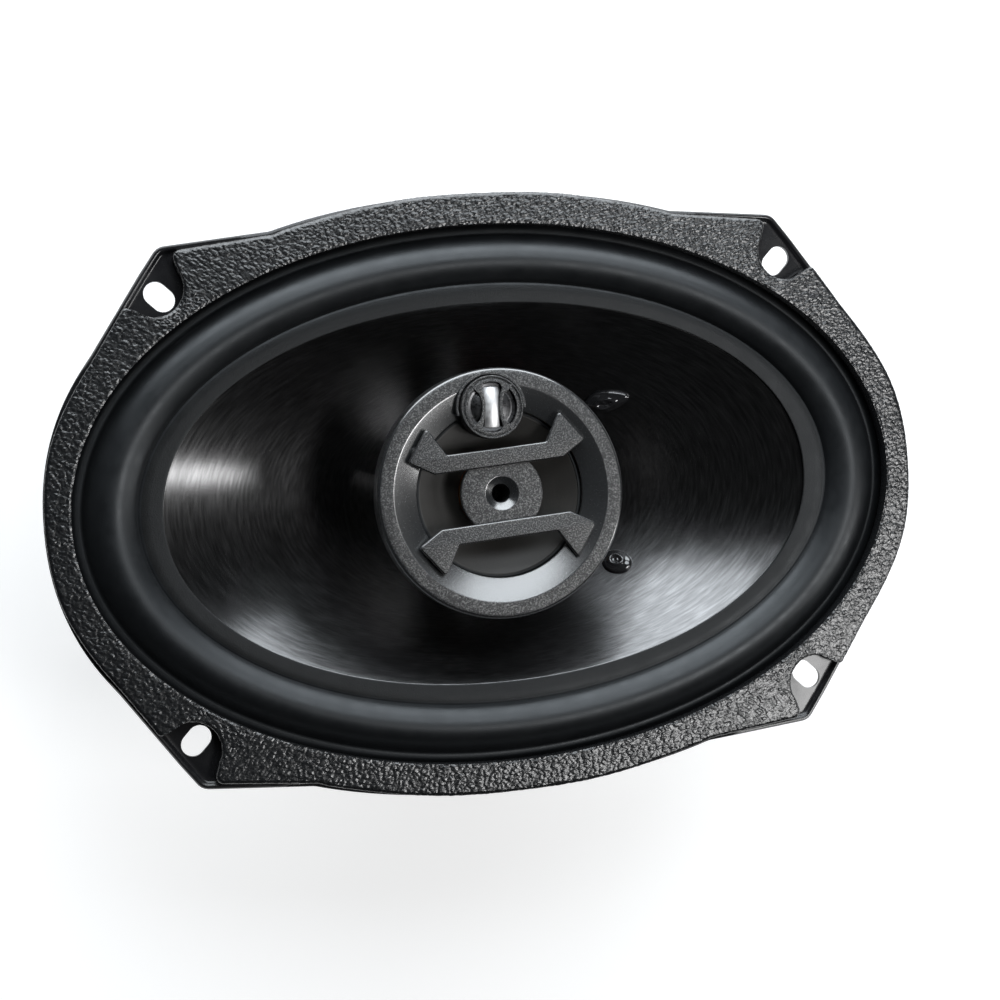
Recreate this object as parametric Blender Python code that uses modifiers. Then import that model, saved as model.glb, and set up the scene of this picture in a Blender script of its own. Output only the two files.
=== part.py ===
"""A 6 x 9 inch three-way coaxial car speaker, lying on its magnet with its cone facing up.

Frame: the speaker's axis is Z, the oval's long axis is X, and the origin is at the centre of the
magnet assembly's rear face. Lengths below are in millimetres, and are turned into metres by MM.
"""

import math

import bmesh
import bpy
from mathutils import Matrix, Vector

MM = 0.001
GAP = 0.3                     # the space kept between pieces that touch on the real speaker

# Driving dimensions
GASKET_TOP = 87.7             # front face of the gasket above the magnet's rear face
FLANGE_TOP = 83.1             # stamped steel flange
FLANGE_THICK = 1.2
SHEET = 1.0                   # basket sheet below the flange
FLANGE_OVAL = (118.9, 80.7, 2.19)
GASKET_OVAL = (117.8, 79.6, 2.19)
GASKET_INNER = (111.84, 72.09, 2.02)
SEAT_OVAL = (113.0, 73.3, 2.02)      # recess that the surround's rim is glued into
SEAT_TOP = 81.5
SLOT_CENTRE = (84.9, 58.0)    # screw slot, in the first quadrant
SLOT_WIDTH = 6.2
SLOT_LENGTH = 8.8
NOTCH_CENTRE = (86.2, 60.0)   # the gasket is cut away round each slot
NOTCH_RADIUS = 7.4

PLATE_RADIUS = 46.0           # front and back plates of the motor
MAGNET_RADIUS = 48.0
MAGNET_BORE = 22.0
BACK_THICK = 5.5
MAGNET_BOTTOM = 5.8
MAGNET_TOP = 23.9
TOP_PLATE_TOP = 29.7
TOP_PLATE_HOLE = 17.6
POLE_RADIUS = 15.0
POLE_BORE = 7.5
GROOVE_WIDTH = 4.4            # channel for the two pod leads across the rear face
GROOVE_DEPTH = 2.4

SHELF_TOP = 42.4              # ledge that carries the spider
BASKET_FLOOR = 31.0
RIVET_CIRCLE = 33.0

FORMER_OUTER = 16.0
FORMER_INNER = 15.7
FORMER_TOP = 49.5
COIL_BOTTOM = 20.8
COIL_TOP = 32.8
NECK_RADIUS = 16.5
NECK_Z = 47.0
CONE_EDGE = (88.5, 51.2, 2.08)
CONE_EDGE_Z = 82.5
CONE_LIP = (95.2, 56.9, 2.01)
CONE_LIP_Z = 83.1
CONE_THICK = 0.8
EYELET_XY = (38.0, 23.0)

ROLL_INNER = (95.0, 56.6, 2.01)
ROLL_OUTER = (109.4, 69.8, 2.02)
SURROUND_RIM = (112.5, 72.8, 2.02)
SURROUND_THICK = 0.5
ROLL_HEIGHT = 4.4

POD_TWIST = math.radians(3.2)
POD_TOP = 91.6
POD_RADIUS = 33.5
POD_RING_INNER = 29.2
POD_OPENING = 22.6
POD_WALL_DROP = 2.2
CUP_BOTTOM = 71.7
POST_RADIUS = 4.2
TWEETER_OFFSET = (0.0, 23.0)  # in the pod's own turned frame
TWEETER_RADIUS = 8.4
TWEETER_TOP = 93.9
BAR_TOP = 92.9
DISC_RADIUS = 11.2

BIG_STEPS = 40
MID_STEPS = 24
SMALL_STEPS = 16
OVAL_STEPS = 48


# ---------------------------------------------------------------- scene, materials, helpers

def clear_scene():
    for obj in list(bpy.data.objects):
        bpy.data.objects.remove(obj, do_unlink=True)


def new_collection(name):
    collection = bpy.data.collections.new(name)
    bpy.context.scene.collection.children.link(collection)
    return collection


def material(name, colour, roughness, metallic=0.0):
    made = bpy.data.materials.new(name)
    made.use_nodes = True
    shader = made.node_tree.nodes["Principled BSDF"]
    shader.inputs["Base Color"].default_value = (*colour, 1.0)
    shader.inputs["Roughness"].default_value = roughness
    shader.inputs["Metallic"].default_value = metallic
    made.diffuse_color = (*colour, 1.0)
    return made


def metres(points):
    return [Vector(point) * MM for point in points]


def link(obj, finish=None, collection=None):
    (collection or SPEAKER).objects.link(obj)
    if finish:
        obj.data.materials.append(finish)
    return obj


def mesh_object(name, vertices, edges=(), faces=(), finish=None, collection=None):
    mesh = bpy.data.meshes.new(name)
    mesh.from_pydata(metres(vertices), edges, faces)
    return link(bpy.data.objects.new(name, mesh), finish, collection)


def smooth(obj, degrees=35):
    obj.data.shade_smooth()
    obj.data.set_sharp_from_angle(angle=math.radians(degrees))
    return obj


def solidify(obj, thickness, offset=-1.0):
    shell = obj.modifiers.new("thickness", "SOLIDIFY")
    shell.thickness = thickness * MM
    shell.offset = offset
    shell.use_even_offset = True
    return obj


def combine(obj, other, operation):
    boolean = obj.modifiers.new(operation.lower(), "BOOLEAN")
    boolean.object = other
    boolean.operation = operation
    boolean.solver = "EXACT"
    return obj


def make_cutter(obj):
    for collection in list(obj.users_collection):
        collection.objects.unlink(obj)
    CUTTERS.objects.link(obj)
    obj.hide_render = True
    obj.display_type = "WIRE"
    return obj


def cut(obj, cutter):
    return combine(obj, make_cutter(cutter), "DIFFERENCE")


def join(obj, other):
    return combine(obj, make_cutter(other), "UNION")


def turned(name, profile, finish=None, steps=MID_STEPS, centre=(0.0, 0.0), closed=True):
    """A turned piece. The (radius, height) profile runs down its outer side, top to bottom."""
    count = len(profile)
    edges = [(i, i + 1) for i in range(count - 1)]
    if closed:
        edges.append((count - 1, 0))
    obj = mesh_object(name, [(r, 0.0, z) for r, z in profile], edges, (), finish)
    obj.location = (centre[0] * MM, centre[1] * MM, 0.0)
    screw = obj.modifiers.new("turn", "SCREW")
    screw.steps = steps
    screw.render_steps = steps
    screw.use_merge_vertices = True
    screw.merge_threshold = 0.00001
    screw.use_smooth_shade = True
    return obj


def solid_turned(name, profile, finish=None, steps=SMALL_STEPS, centre=(0.0, 0.0)):
    """A turned piece whose profile starts and ends on its axis."""
    return turned(name, profile, finish, steps, centre, closed=False)


def ring(name, inner, outer, bottom, top, finish=None, steps=MID_STEPS, centre=(0.0, 0.0)):
    profile = [(outer, top), (outer, bottom), (inner, bottom), (inner, top)]
    return turned(name, profile, finish, steps, centre)


def disc(name, radius, bottom, top, finish=None, steps=SMALL_STEPS, centre=(0.0, 0.0)):
    profile = [(0.0, top), (radius, top), (radius, bottom), (0.0, bottom)]
    return solid_turned(name, profile, finish, steps, centre)


def oval_point(angle, oval):
    """A point of the superellipse (a, b, n) at a parameter angle."""
    a, b, n = oval
    c = math.cos(angle)
    s = math.sin(angle)
    x = a * math.copysign(abs(c) ** (2.0 / n), c)
    y = b * math.copysign(abs(s) ** (2.0 / n), s)
    return x, y


def oval_ring(oval, z, steps=OVAL_STEPS):
    return [(*oval_point(math.tau * i / steps, oval), z) for i in range(steps)]


def loft(name, rings, finish):
    """An open surface through closed rings of equal length, listed from the outside in."""
    count = len(rings[0])
    vertices = [point for one in rings for point in one]
    faces = []
    for level in range(len(rings) - 1):
        for i in range(count):
            after = (i + 1) % count
            outer = level * count
            inner = outer + count
            faces.append((outer + i, outer + after, inner + after, inner + i))
    return mesh_object(name, vertices, (), faces, finish)


def plate(name, outlines, bottom, top, finish=None):
    """A flat plate with straight edges, from closed outlines; inner outlines are holes."""
    curve = bpy.data.curves.new(name, "CURVE")
    curve.dimensions = "2D"
    curve.fill_mode = "BOTH"
    curve.extrude = (top - bottom) / 2 * MM
    for outline in outlines:
        spline = curve.splines.new("POLY")
        spline.points.add(len(outline) - 1)
        spline.use_cyclic_u = True
        for point, (x, y) in zip(spline.points, outline):
            point.co = (x * MM, y * MM, 0.0, 1.0)
    obj = link(bpy.data.objects.new(name, curve), finish)
    obj.location.z = (top + bottom) / 2 * MM
    return obj


def as_mesh(obj):
    """The same piece as a mesh with welded caps, so that Boolean can work on it."""
    bpy.context.view_layer.update()
    graph = bpy.context.evaluated_depsgraph_get()
    mesh = bpy.data.meshes.new_from_object(obj.evaluated_get(graph))
    weld = bmesh.new()
    weld.from_mesh(mesh)
    bmesh.ops.remove_doubles(weld, verts=weld.verts, dist=0.000001)
    weld.to_mesh(mesh)
    weld.free()
    name = obj.name
    matrix = obj.matrix_world.copy()
    bpy.data.objects.remove(obj, do_unlink=True)
    made = bpy.data.objects.new(name, mesh)
    made.matrix_world = matrix
    SPEAKER.objects.link(made)
    return made


def circle(radius, centre=(0.0, 0.0), steps=SMALL_STEPS):
    angles = [math.tau * i / steps for i in range(steps)]
    return [(centre[0] + radius * math.cos(a), centre[1] + radius * math.sin(a)) for a in angles]


def arc(centre, radius, start, end, steps):
    """Points from start to end, both in degrees and counted anticlockwise when end is larger."""
    angles = [math.radians(start + (end - start) * i / steps) for i in range(steps + 1)]
    return [(centre[0] + radius * math.cos(a), centre[1] + radius * math.sin(a)) for a in angles]


def fillet(before, corner, after, radius, steps=4):
    """The arc that rounds a corner between two straight edges."""
    corner = Vector(corner)
    first = (Vector(before) - corner).normalized()
    second = (Vector(after) - corner).normalized()
    half = first.angle(second) / 2
    reach = radius / math.tan(half)
    middle = corner + (first + second).normalized() * radius / math.sin(half)
    start = corner + first * reach - middle
    sweep = (corner + second * reach - middle).angle_signed(start)
    return [tuple(middle + Matrix.Rotation(sweep * i / steps, 2) @ start) for i in range(steps + 1)]


def four_quadrants(quarter):
    """Mirrors a first-quadrant outline, running from the X axis to the Y axis, into a full one."""
    left = [(-x, y) for x, y in reversed(quarter)]
    upper = quarter + left[1:]
    lower = [(x, -y) for x, y in reversed(upper)]
    return upper + lower[1:-1]


def catmull(route, per_span):
    """A smooth curve through the route's points."""
    points = [Vector(p) for p in route]
    padded = [points[0] * 2 - points[1], *points, points[-1] * 2 - points[-2]]
    found = []
    for i in range(1, len(padded) - 2):
        p0, p1, p2, p3 = padded[i - 1:i + 3]
        for step in range(per_span):
            t = step / per_span
            bend = p0 * 2 - p1 * 5 + p2 * 4 - p3
            twist = p1 * 3 - p0 - p2 * 3 + p3
            found.append((p1 * 2 + (p2 - p0) * t + bend * t * t + twist * t * t * t) / 2)
    return [*found, points[-1]]


def wire(name, route, radius, finish, per_span=3):
    curve = bpy.data.curves.new(name, "CURVE")
    curve.dimensions = "3D"
    curve.bevel_depth = radius * MM
    curve.bevel_resolution = 2
    curve.use_fill_caps = True
    spline = curve.splines.new("POLY")
    points = catmull(route, per_span)
    spline.points.add(len(points) - 1)
    for point, place in zip(spline.points, points):
        point.co = (*(place * MM), 1.0)
    return link(bpy.data.objects.new(name, curve), finish)


def axis_empty(name, x, y, z):
    empty = bpy.data.objects.new(name, None)
    empty.location = (x * MM, y * MM, z * MM)
    empty.empty_display_size = 0.01
    SPEAKER.objects.link(empty)
    return empty


def hang_on(empty, pieces):
    for piece in pieces:
        piece.parent = empty
        piece.matrix_parent_inverse = Matrix.Translation(-empty.location)


def in_pod(x, y):
    """Turns a point of the pod's own frame by the pod's small twist."""
    turned_point = Matrix.Rotation(POD_TWIST, 2) @ Vector((x, y))
    return turned_point.x, turned_point.y


# ---------------------------------------------------------------- basket and gasket

def tab_outline():
    """The flange's outline: an oval whose four corners are drawn out into screw tabs."""
    start = (103.3, 44.2)
    low_corner = (89.6, 64.0)
    high_corner = (84.5, 70.9)
    end = (55.0, 73.5)
    side = [oval_point(math.radians(d), FLANGE_OVAL) for d in range(0, 30, 7)]
    crown = [oval_point(math.radians(d), FLANGE_OVAL) for d in range(66, 91, 8)]
    corner = fillet(start, low_corner, high_corner, 4.0) + fillet(low_corner, high_corner, end, 4.0)
    return four_quadrants(side + [start] + corner + [end] + crown)


def slot_outline(sign_x, sign_y):
    """A slot with round ends, along the diagonal of its own quadrant."""
    half = SLOT_WIDTH / 2
    reach = (SLOT_LENGTH - SLOT_WIDTH) / 2 / math.sqrt(2)
    x, y = SLOT_CENTRE
    far = arc((x + reach, y + reach), half, -45, 135, 6)
    near = arc((x - reach, y - reach), half, 135, 315, 6)
    points = [(sign_x * px, sign_y * py) for px, py in far + near]
    return points if sign_x * sign_y > 0 else points[::-1]


def gasket_outline():
    """The gasket's outer outline: the oval, notched round each screw slot."""
    side = [oval_point(math.radians(d), GASKET_OVAL) for d in range(0, 30, 7)]
    crown = [oval_point(math.radians(d), GASKET_OVAL) for d in range(66, 91, 8)]
    line_start = (102.3, 43.8)
    lower_nose = (94.2, 55.7)
    upper_nose = (81.6, 69.3)
    line_end = (54.4, 72.3)
    notch = arc(NOTCH_CENTRE, NOTCH_RADIUS, -46, -212, 10)
    lower = fillet(line_start, lower_nose, notch[0], 1.2)
    upper = fillet(notch[-1], upper_nose, line_end, 2.2)
    return four_quadrants(side + [line_start] + lower + notch + upper + [line_end] + crown)


def inner_oval(oval, steps=OVAL_STEPS):
    return [oval_point(math.tau * i / steps, oval) for i in range(steps)]


BASKET_PROFILE = [                   # the seat's wall leans in a little, clear of the flange's rear
    (SEAT_OVAL, FLANGE_TOP - 0.1),
    ((SEAT_OVAL[0] - 0.12, SEAT_OVAL[1] - 0.12, SEAT_OVAL[2]), SEAT_TOP),
    ((107.8, 68.3, 2.02), SEAT_TOP),
    ((106.6, 67.2, 2.02), 80.3),
    ((104.5, 65.8, 2.03), 76.0),
    ((100.0, 63.6, 2.03), 71.5),
    ((57.5, 56.5, 2.0), 44.6),
    ((54.5, 54.5, 2.0), SHELF_TOP),
    ((45.5, 45.5, 2.0), SHELF_TOP),
    ((43.6, 43.6, 2.0), 40.6),
    ((42.6, 42.6, 2.0), 33.0),
    ((40.6, 40.6, 2.0), BASKET_FLOOR),
    ((24.0, 24.0, 2.0), BASKET_FLOOR),
]
WINDOW_BOTTOM = 47.5
WINDOW_TOP = 72.5
WINDOW_ANGLES = [(12.0, 31.0), (42.0, 80.0)]   # in the first quadrant


def window_cutter(start, end):
    """A wedge from the axis outwards, with round long edges."""
    mesh = bpy.data.meshes.new("window_cutter")
    shape = bmesh.new()
    bmesh.ops.create_cube(shape, size=2.0)
    for vertex in shape.verts:
        radius = 140.0 if vertex.co.x > 0 else 36.0
        angle = math.radians(end if vertex.co.y > 0 else start)
        height = WINDOW_TOP if vertex.co.z > 0 else WINDOW_BOTTOM
        vertex.co = Vector((radius * math.cos(angle), radius * math.sin(angle), height)) * MM
    bmesh.ops.bevel(shape, geom=shape.edges[:], offset=4.0 * MM, segments=2, affect="EDGES", profile=0.5)
    shape.to_mesh(mesh)
    shape.free()
    return link(bpy.data.objects.new("window_cutter", mesh))


def rivet_places():
    angles = [math.radians(45 + 90 * i) for i in range(4)]
    return [(RIVET_CIRCLE * math.cos(a), RIVET_CIRCLE * math.sin(a)) for a in angles]


def make_basket():
    rings = [oval_ring(oval, z) for oval, z in BASKET_PROFILE]
    basket = smooth(solidify(loft("basket", rings, STEEL_BLACK), SHEET))
    flange_hole = inner_oval((SEAT_OVAL[0] + 0.4, SEAT_OVAL[1] + 0.4, SEAT_OVAL[2]))
    slots = [slot_outline(sx, sy) for sx in (1, -1) for sy in (1, -1)]
    outlines = [tab_outline(), flange_hole, *slots]
    flange = plate("flange_sheet", outlines, FLANGE_TOP - FLANGE_THICK, FLANGE_TOP)
    join(basket, as_mesh(flange))
    for start, end in WINDOW_ANGLES:
        pairs = ((start, end), (180 - end, 180 - start), (180 + start, 180 + end), (-end, -start))
        for low, high in pairs:
            cut(basket, window_cutter(low, high))
    for place in rivet_places():
        cut(basket, disc("rivet_hole", 2.0, BASKET_FLOOR - 3, BASKET_FLOOR + 2, None, 12, place))
    cut(basket, board_rivet_hole())
    return basket


def make_gasket():
    outlines = [gasket_outline(), inner_oval(GASKET_INNER)]
    return plate("front_gasket", outlines, FLANGE_TOP + GAP, GASKET_TOP, FOAM_BLACK)


# ---------------------------------------------------------------- motor

def make_yoke():
    """Back plate and pole in one forging, with a vent bore and a channel for the pod leads."""
    profile = [
        (POLE_RADIUS, TOP_PLATE_TOP), (POLE_RADIUS, BACK_THICK), (PLATE_RADIUS, BACK_THICK),
        (PLATE_RADIUS, 0.8), (PLATE_RADIUS - 0.8, 0.0), (POLE_BORE, 0.0), (POLE_BORE, TOP_PLATE_TOP),
    ]
    yoke = turned("back_plate_and_pole", profile, STEEL_ZINC, BIG_STEPS)
    size = (PLATE_RADIUS + 4, GROOVE_WIDTH, 2 * GROOVE_DEPTH)
    return cut(yoke, box("lead_groove", size, (PLATE_RADIUS / 2 + 4, 0, 0)))


def box(name, size, centre, finish=None):
    mesh = bpy.data.meshes.new(name)
    shape = bmesh.new()
    bmesh.ops.create_cube(shape, size=1.0)
    bmesh.ops.scale(shape, vec=Vector(size) * MM, verts=shape.verts)
    shape.to_mesh(mesh)
    shape.free()
    obj = link(bpy.data.objects.new(name, mesh), finish)
    obj.location = Vector(centre) * MM
    return obj


def make_magnet():
    edge = 1.2
    profile = [
        (MAGNET_RADIUS - edge, MAGNET_TOP), (MAGNET_RADIUS, MAGNET_TOP - edge),
        (MAGNET_RADIUS, MAGNET_BOTTOM + edge), (MAGNET_RADIUS - edge, MAGNET_BOTTOM),
        (MAGNET_BORE, MAGNET_BOTTOM), (MAGNET_BORE, MAGNET_TOP),
    ]
    return turned("ferrite_magnet", profile, FERRITE, BIG_STEPS)


def make_top_plate():
    bottom = MAGNET_TOP + GAP
    profile = [
        (PLATE_RADIUS - 0.8, TOP_PLATE_TOP), (PLATE_RADIUS, TOP_PLATE_TOP - 0.8),
        (PLATE_RADIUS, bottom), (TOP_PLATE_HOLE, bottom), (TOP_PLATE_HOLE, TOP_PLATE_TOP),
    ]
    top_plate = turned("top_plate", profile, STEEL_ZINC, BIG_STEPS)
    for place in rivet_places():
        cut(top_plate, disc("plate_hole", 2.0, TOP_PLATE_TOP - 4, TOP_PLATE_TOP + 2, None, 12, place))
    return top_plate


def make_plate_rivets():
    """Four rivets that hold the basket's floor to the top plate."""
    foot = TOP_PLATE_TOP - 3.6
    seat = BASKET_FLOOR + GAP
    profile = [
        (0.0, seat + 1.3), (2.0, seat + 1.1), (3.1, seat + 0.4), (3.1, seat),
        (1.6, seat), (1.6, foot), (0.0, foot),
    ]
    for index, place in enumerate(rivet_places()):
        solid_turned(f"plate_rivet_{index + 1}", profile, STEEL_ZINC, 12, place)


def make_centre_post():
    """The post that carries the pod: a foot pressed into the pole's bore and a slim stem."""
    foot_top = 7.0
    post_top = CUP_BOTTOM - GAP
    profile = [
        (6.4, post_top), (6.4, post_top - 1.4), (POST_RADIUS, post_top - 3.2), (POST_RADIUS, foot_top),
        (POLE_BORE - 0.2, foot_top - 1.0), (POLE_BORE - 0.2, 2.6), (1.7, 2.6), (1.7, post_top),
    ]
    post = turned("centre_post", profile, STEEL_ZINC, 16)
    for side in (1, -1):
        cut(post, box("post_vent", (4.6, 4.4, 9.0), (side * 7.0, 0, 5.0)))
    return post


# ---------------------------------------------------------------- moving cone assembly

def cone_rings():
    """The cone's front surface, from its glued lip down to the neck, slightly dished."""
    rings = [(CONE_LIP, CONE_LIP_Z), (CONE_EDGE, CONE_EDGE_Z)]
    levels = 4
    for i in range(1, levels + 1):
        s = i / levels
        a = CONE_EDGE[0] + (NECK_RADIUS - CONE_EDGE[0]) * s
        b = CONE_EDGE[1] + (NECK_RADIUS - CONE_EDGE[1]) * s
        n = CONE_EDGE[2] + (2.0 - CONE_EDGE[2]) * s
        drop = (s + 0.16 * s * (1 - s)) * (CONE_EDGE_Z - NECK_Z)
        rings.append(((a, b, n), CONE_EDGE_Z - drop))
    return rings


def cone_height(x, y):
    """Height of the cone's front surface at a point, and its upward normal."""
    def height(px, py):
        low = 0.0
        high = 1.0
        for _ in range(40):
            s = (low + high) / 2
            a = CONE_EDGE[0] + (NECK_RADIUS - CONE_EDGE[0]) * s
            b = CONE_EDGE[1] + (NECK_RADIUS - CONE_EDGE[1]) * s
            n = CONE_EDGE[2] + (2.0 - CONE_EDGE[2]) * s
            if (abs(px) / a) ** n + (abs(py) / b) ** n > 1.0:
                high = s
            else:
                low = s
        return CONE_EDGE_Z - (low + 0.16 * low * (1 - low)) * (CONE_EDGE_Z - NECK_Z)

    step = 0.5
    slope_x = (height(x + step, y) - height(x - step, y)) / (2 * step)
    slope_y = (height(x, y + step) - height(x, y - step)) / (2 * step)
    return height(x, y), Vector((-slope_x, -slope_y, 1.0)).normalized()


def on_cone(obj, x, y, lift):
    """Stands a piece made along Z on the cone's front surface."""
    z, normal = cone_height(x, y)
    place = Vector((x, y, z)) + normal * lift
    turn = normal.to_track_quat("Z", "X").to_matrix().to_4x4()
    obj.matrix_world = Matrix.Translation(place * MM) @ turn
    return obj


def make_cone():
    rings = [oval_ring(oval, z) for oval, z in cone_rings()]
    cone = smooth(solidify(loft("cone", rings, POLYPROPYLENE), CONE_THICK))
    for side in (1, -1):
        hole = disc("eyelet_hole", 1.2, -3.0, 3.0, None, 12)
        cut(cone, on_cone(hole, EYELET_XY[0], side * EYELET_XY[1], 0.0))
    return cone


def make_eyelet(name, side):
    """A hollow-headed brass eyelet from the cone's rear, where a tinsel lead ends."""
    head = -CONE_THICK - 0.25
    profile = [(0.0, 0.0), (0.8, 0.0), (0.8, head), (1.8, head), (1.8, head - 0.5), (0.0, head - 0.5)]
    eyelet = solid_turned(name, profile, BRASS, 12)
    return on_cone(eyelet, EYELET_XY[0], side * EYELET_XY[1], 0.0)


def make_glue_dab(name, side):
    """A drop of black cement over the eyelet, drawn out towards the neck."""
    mesh = bpy.data.meshes.new(name)
    shape = bmesh.new()
    bmesh.ops.create_uvsphere(shape, u_segments=16, v_segments=10, radius=1.0)
    bmesh.ops.scale(shape, vec=Vector((4.4, 3.4, 2.0)) * MM, verts=shape.verts)
    everything = shape.verts[:] + shape.edges[:] + shape.faces[:]
    found = bmesh.ops.bisect_plane(
        shape, geom=everything, plane_co=(0, 0, 0.0001), plane_no=(0, 0, 1), clear_inner=True)
    rim = [piece for piece in found["geom_cut"] if isinstance(piece, bmesh.types.BMEdge)]
    bmesh.ops.contextual_create(shape, geom=rim)
    bmesh.ops.recalc_face_normals(shape, faces=shape.faces)
    shape.to_mesh(mesh)
    shape.free()
    dab = link(bpy.data.objects.new(name, mesh), CEMENT)
    return on_cone(dab, EYELET_XY[0], side * EYELET_XY[1], 0.4)


def make_voice_coil():
    foot = COIL_BOTTOM - 0.5
    former = ring("voice_coil_former", FORMER_INNER, FORMER_OUTER, foot, FORMER_TOP, KAPTON, BIG_STEPS)
    winding = ring("voice_coil_winding", 16.1, 16.7, COIL_BOTTOM, COIL_TOP, COPPER, BIG_STEPS)
    return [former, winding]


def make_spider():
    """The corrugated cloth disc that centres the coil; its rim is glued on the basket's shelf."""
    half = 0.25
    rim_z = SHELF_TOP + GAP + half
    middle = [(52.5, rim_z), (46.4, rim_z)]
    folds = 8
    for i in range(folds):
        s = (i + 0.5) / folds
        radius = 46.0 + (19.4 - 46.0) * s
        middle.append((radius, rim_z + 0.9 * s + (1.1 if i % 2 == 0 else -1.1)))
    middle += [(19.0, rim_z + 0.9), (16.4, rim_z + 0.9)]
    lower = [(r, z - half) for r, z in middle]
    upper = [(r, z + half) for r, z in reversed(middle)]
    return turned("spider", lower + upper, SPIDER_CLOTH, 32)


def make_surround():
    """The half-roll rubber edge between cone and basket."""
    band_top = CONE_LIP_Z + GAP + SURROUND_THICK
    rim_top = SEAT_TOP + GAP + SURROUND_THICK
    rings = [(SURROUND_RIM, rim_top)]
    roll_points = 6
    for i in range(roll_points + 1):
        s = i / roll_points
        oval = tuple(o + (p - o) * s for o, p in zip(ROLL_OUTER, ROLL_INNER))
        base = rim_top + (band_top - rim_top) * s
        rings.append((oval, base + ROLL_HEIGHT * math.sin(math.pi * s) ** 0.8))
    rings.append(((89.2, 51.8, 2.08), band_top - 0.45))
    surround = loft("surround", [oval_ring(oval, z) for oval, z in rings], RUBBER)
    return smooth(solidify(surround, SURROUND_THICK))


# ---------------------------------------------------------------- terminals and wiring

WALL_LOW = Vector((57.5, 0.0, 44.6))      # inner face of the +X spoke, lower and upper end
WALL_HIGH = Vector((100.0, 0.0, 71.5))
BOARD_AT = 0.40                           # how far up the spoke the terminal board sits
BOARD_THICK = 1.6
BOARD_HALF = (17.0, 6.0)                  # along Y, and along the spoke
BLADE_THICK = 0.8


def board_frame(lift):
    """Matrix of a plane parallel to the spoke's outer face; local X is +Y, local Y climbs the spoke."""
    climb = (WALL_HIGH - WALL_LOW).normalized()
    outward = Vector((climb.z, 0.0, -climb.x))
    origin = WALL_LOW.lerp(WALL_HIGH, BOARD_AT) + outward * (SHEET + lift)
    turn = Matrix((Vector((0, 1, 0)), climb, outward)).transposed()
    return Matrix.Translation(origin * MM) @ turn.to_4x4()


def board_rivet_hole():
    hole = disc("board_rivet_hole", 1.8, -4.0, 4.0, None, 12)
    hole.matrix_world = board_frame(0.0)
    return hole


def make_terminal_board():
    half_x, half_y = BOARD_HALF
    corners = [(half_x, -half_y), (half_x, half_y), (-half_x, half_y), (-half_x, -half_y)]
    outline = []
    for i, corner in enumerate(corners):
        outline += fillet(corners[i - 1], corner, corners[(i + 1) % 4], 1.5, 3)
    holes = [circle(1.8, (x, 0.0), 12) for x in (-12.5, 0.0, 12.5)]
    board = plate("terminal_board", [outline, *holes], 0.0, BOARD_THICK, PHENOLIC)
    board.matrix_world = board_frame(GAP + BOARD_THICK / 2)
    return board


def make_blade(name, x, width):
    """A spade terminal: riveted foot on the board and a tapered blade pointing to the rear."""
    half = width / 2
    outline = [
        (half + 0.9, -3.0), (half + 0.9, 3.6), (-half - 0.9, 3.6), (-half - 0.9, -3.0),
        (-half, -5.0), (-half, -14.2), (-half + 0.7, -15.0), (half - 0.7, -15.0), (half, -14.2), (half, -5.0),
    ]
    outline = [(x + px, py) for px, py in outline]
    holes = [circle(1.7, (x, 0.0), 12), circle(0.6, (x, -11.0), 8)]
    blade = plate(name, [outline, *holes], 0.0, BLADE_THICK, TIN)
    blade.matrix_world = board_frame(2 * GAP + BOARD_THICK + BLADE_THICK / 2)
    return blade


def make_board_rivet(name, x, stack, reach):
    """A rivet with its domed head outside; its shank goes through what it holds."""
    base = stack + GAP
    profile = [(0.0, base + 0.9), (1.6, base + 0.7), (2.4, base), (1.3, base), (1.3, reach), (0.0, reach)]
    rivet = solid_turned(name, profile, STEEL_ZINC, 12)
    rivet.matrix_world = board_frame(0.0) @ Matrix.Translation((x * MM, 0, 0))
    return rivet


def make_terminals():
    make_terminal_board()
    make_blade("terminal_positive", 12.5, 4.8)
    make_blade("terminal_negative", -12.5, 2.8)
    stack = 2 * GAP + BOARD_THICK
    make_board_rivet("board_rivet", 0.0, GAP + BOARD_THICK, -SHEET - 0.6)
    make_board_rivet("terminal_rivet_positive", 12.5, stack + BLADE_THICK, 0.2)
    make_board_rivet("terminal_rivet_negative", -12.5, stack + BLADE_THICK, 0.2)


def make_tinsel_lead(name, side):
    """A braided lead from the terminal, through a basket window, to the cone's rear."""
    x, y = EYELET_XY
    z, normal = cone_height(x, y)
    solder = Vector((x, y, z)) - normal * (CONE_THICK + 1.7)
    route = [
        (80.9, 13.2, 54.7), (82.4, 16.5, 55.2), (81.6, 19.6, 57.0), (78.6, 21.2, 59.4), (73.5, 21.8, 60.8),
        (66.0, 22.2, 60.2), (57.0, 22.8, 58.0), (49.0, 23.4, 56.2), (43.0, 23.4, 56.4), tuple(solder),
    ]
    return wire(name, [(px, side * py, pz) for px, py, pz in route], 0.7, TINSEL, 2)


CAP_CIRCLE = 50.6
CAP_Z = 36.0
CAP_RADIUS = 4.8
CAP_HALF = 9.0
CAP_ANGLE = 21.0


def make_capacitor(name, side):
    """A bipolar electrolytic capacitor lying under the spider shelf."""
    profile = [
        (0.0, CAP_HALF), (CAP_RADIUS - 0.7, CAP_HALF), (CAP_RADIUS, CAP_HALF - 0.7),
        (CAP_RADIUS, -CAP_HALF + 0.7), (CAP_RADIUS - 0.7, -CAP_HALF), (0.0, -CAP_HALF),
    ]
    can = solid_turned(name, profile, CAP_SLEEVE, 20)
    angle = math.radians(side * CAP_ANGLE)
    place = Vector((CAP_CIRCLE * math.cos(angle), CAP_CIRCLE * math.sin(angle), CAP_Z))
    turn = Matrix.Rotation(angle, 4, "Z") @ Matrix.Rotation(-math.pi / 2, 4, "X")
    can.matrix_world = Matrix.Translation(place * MM) @ turn
    return can


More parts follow.
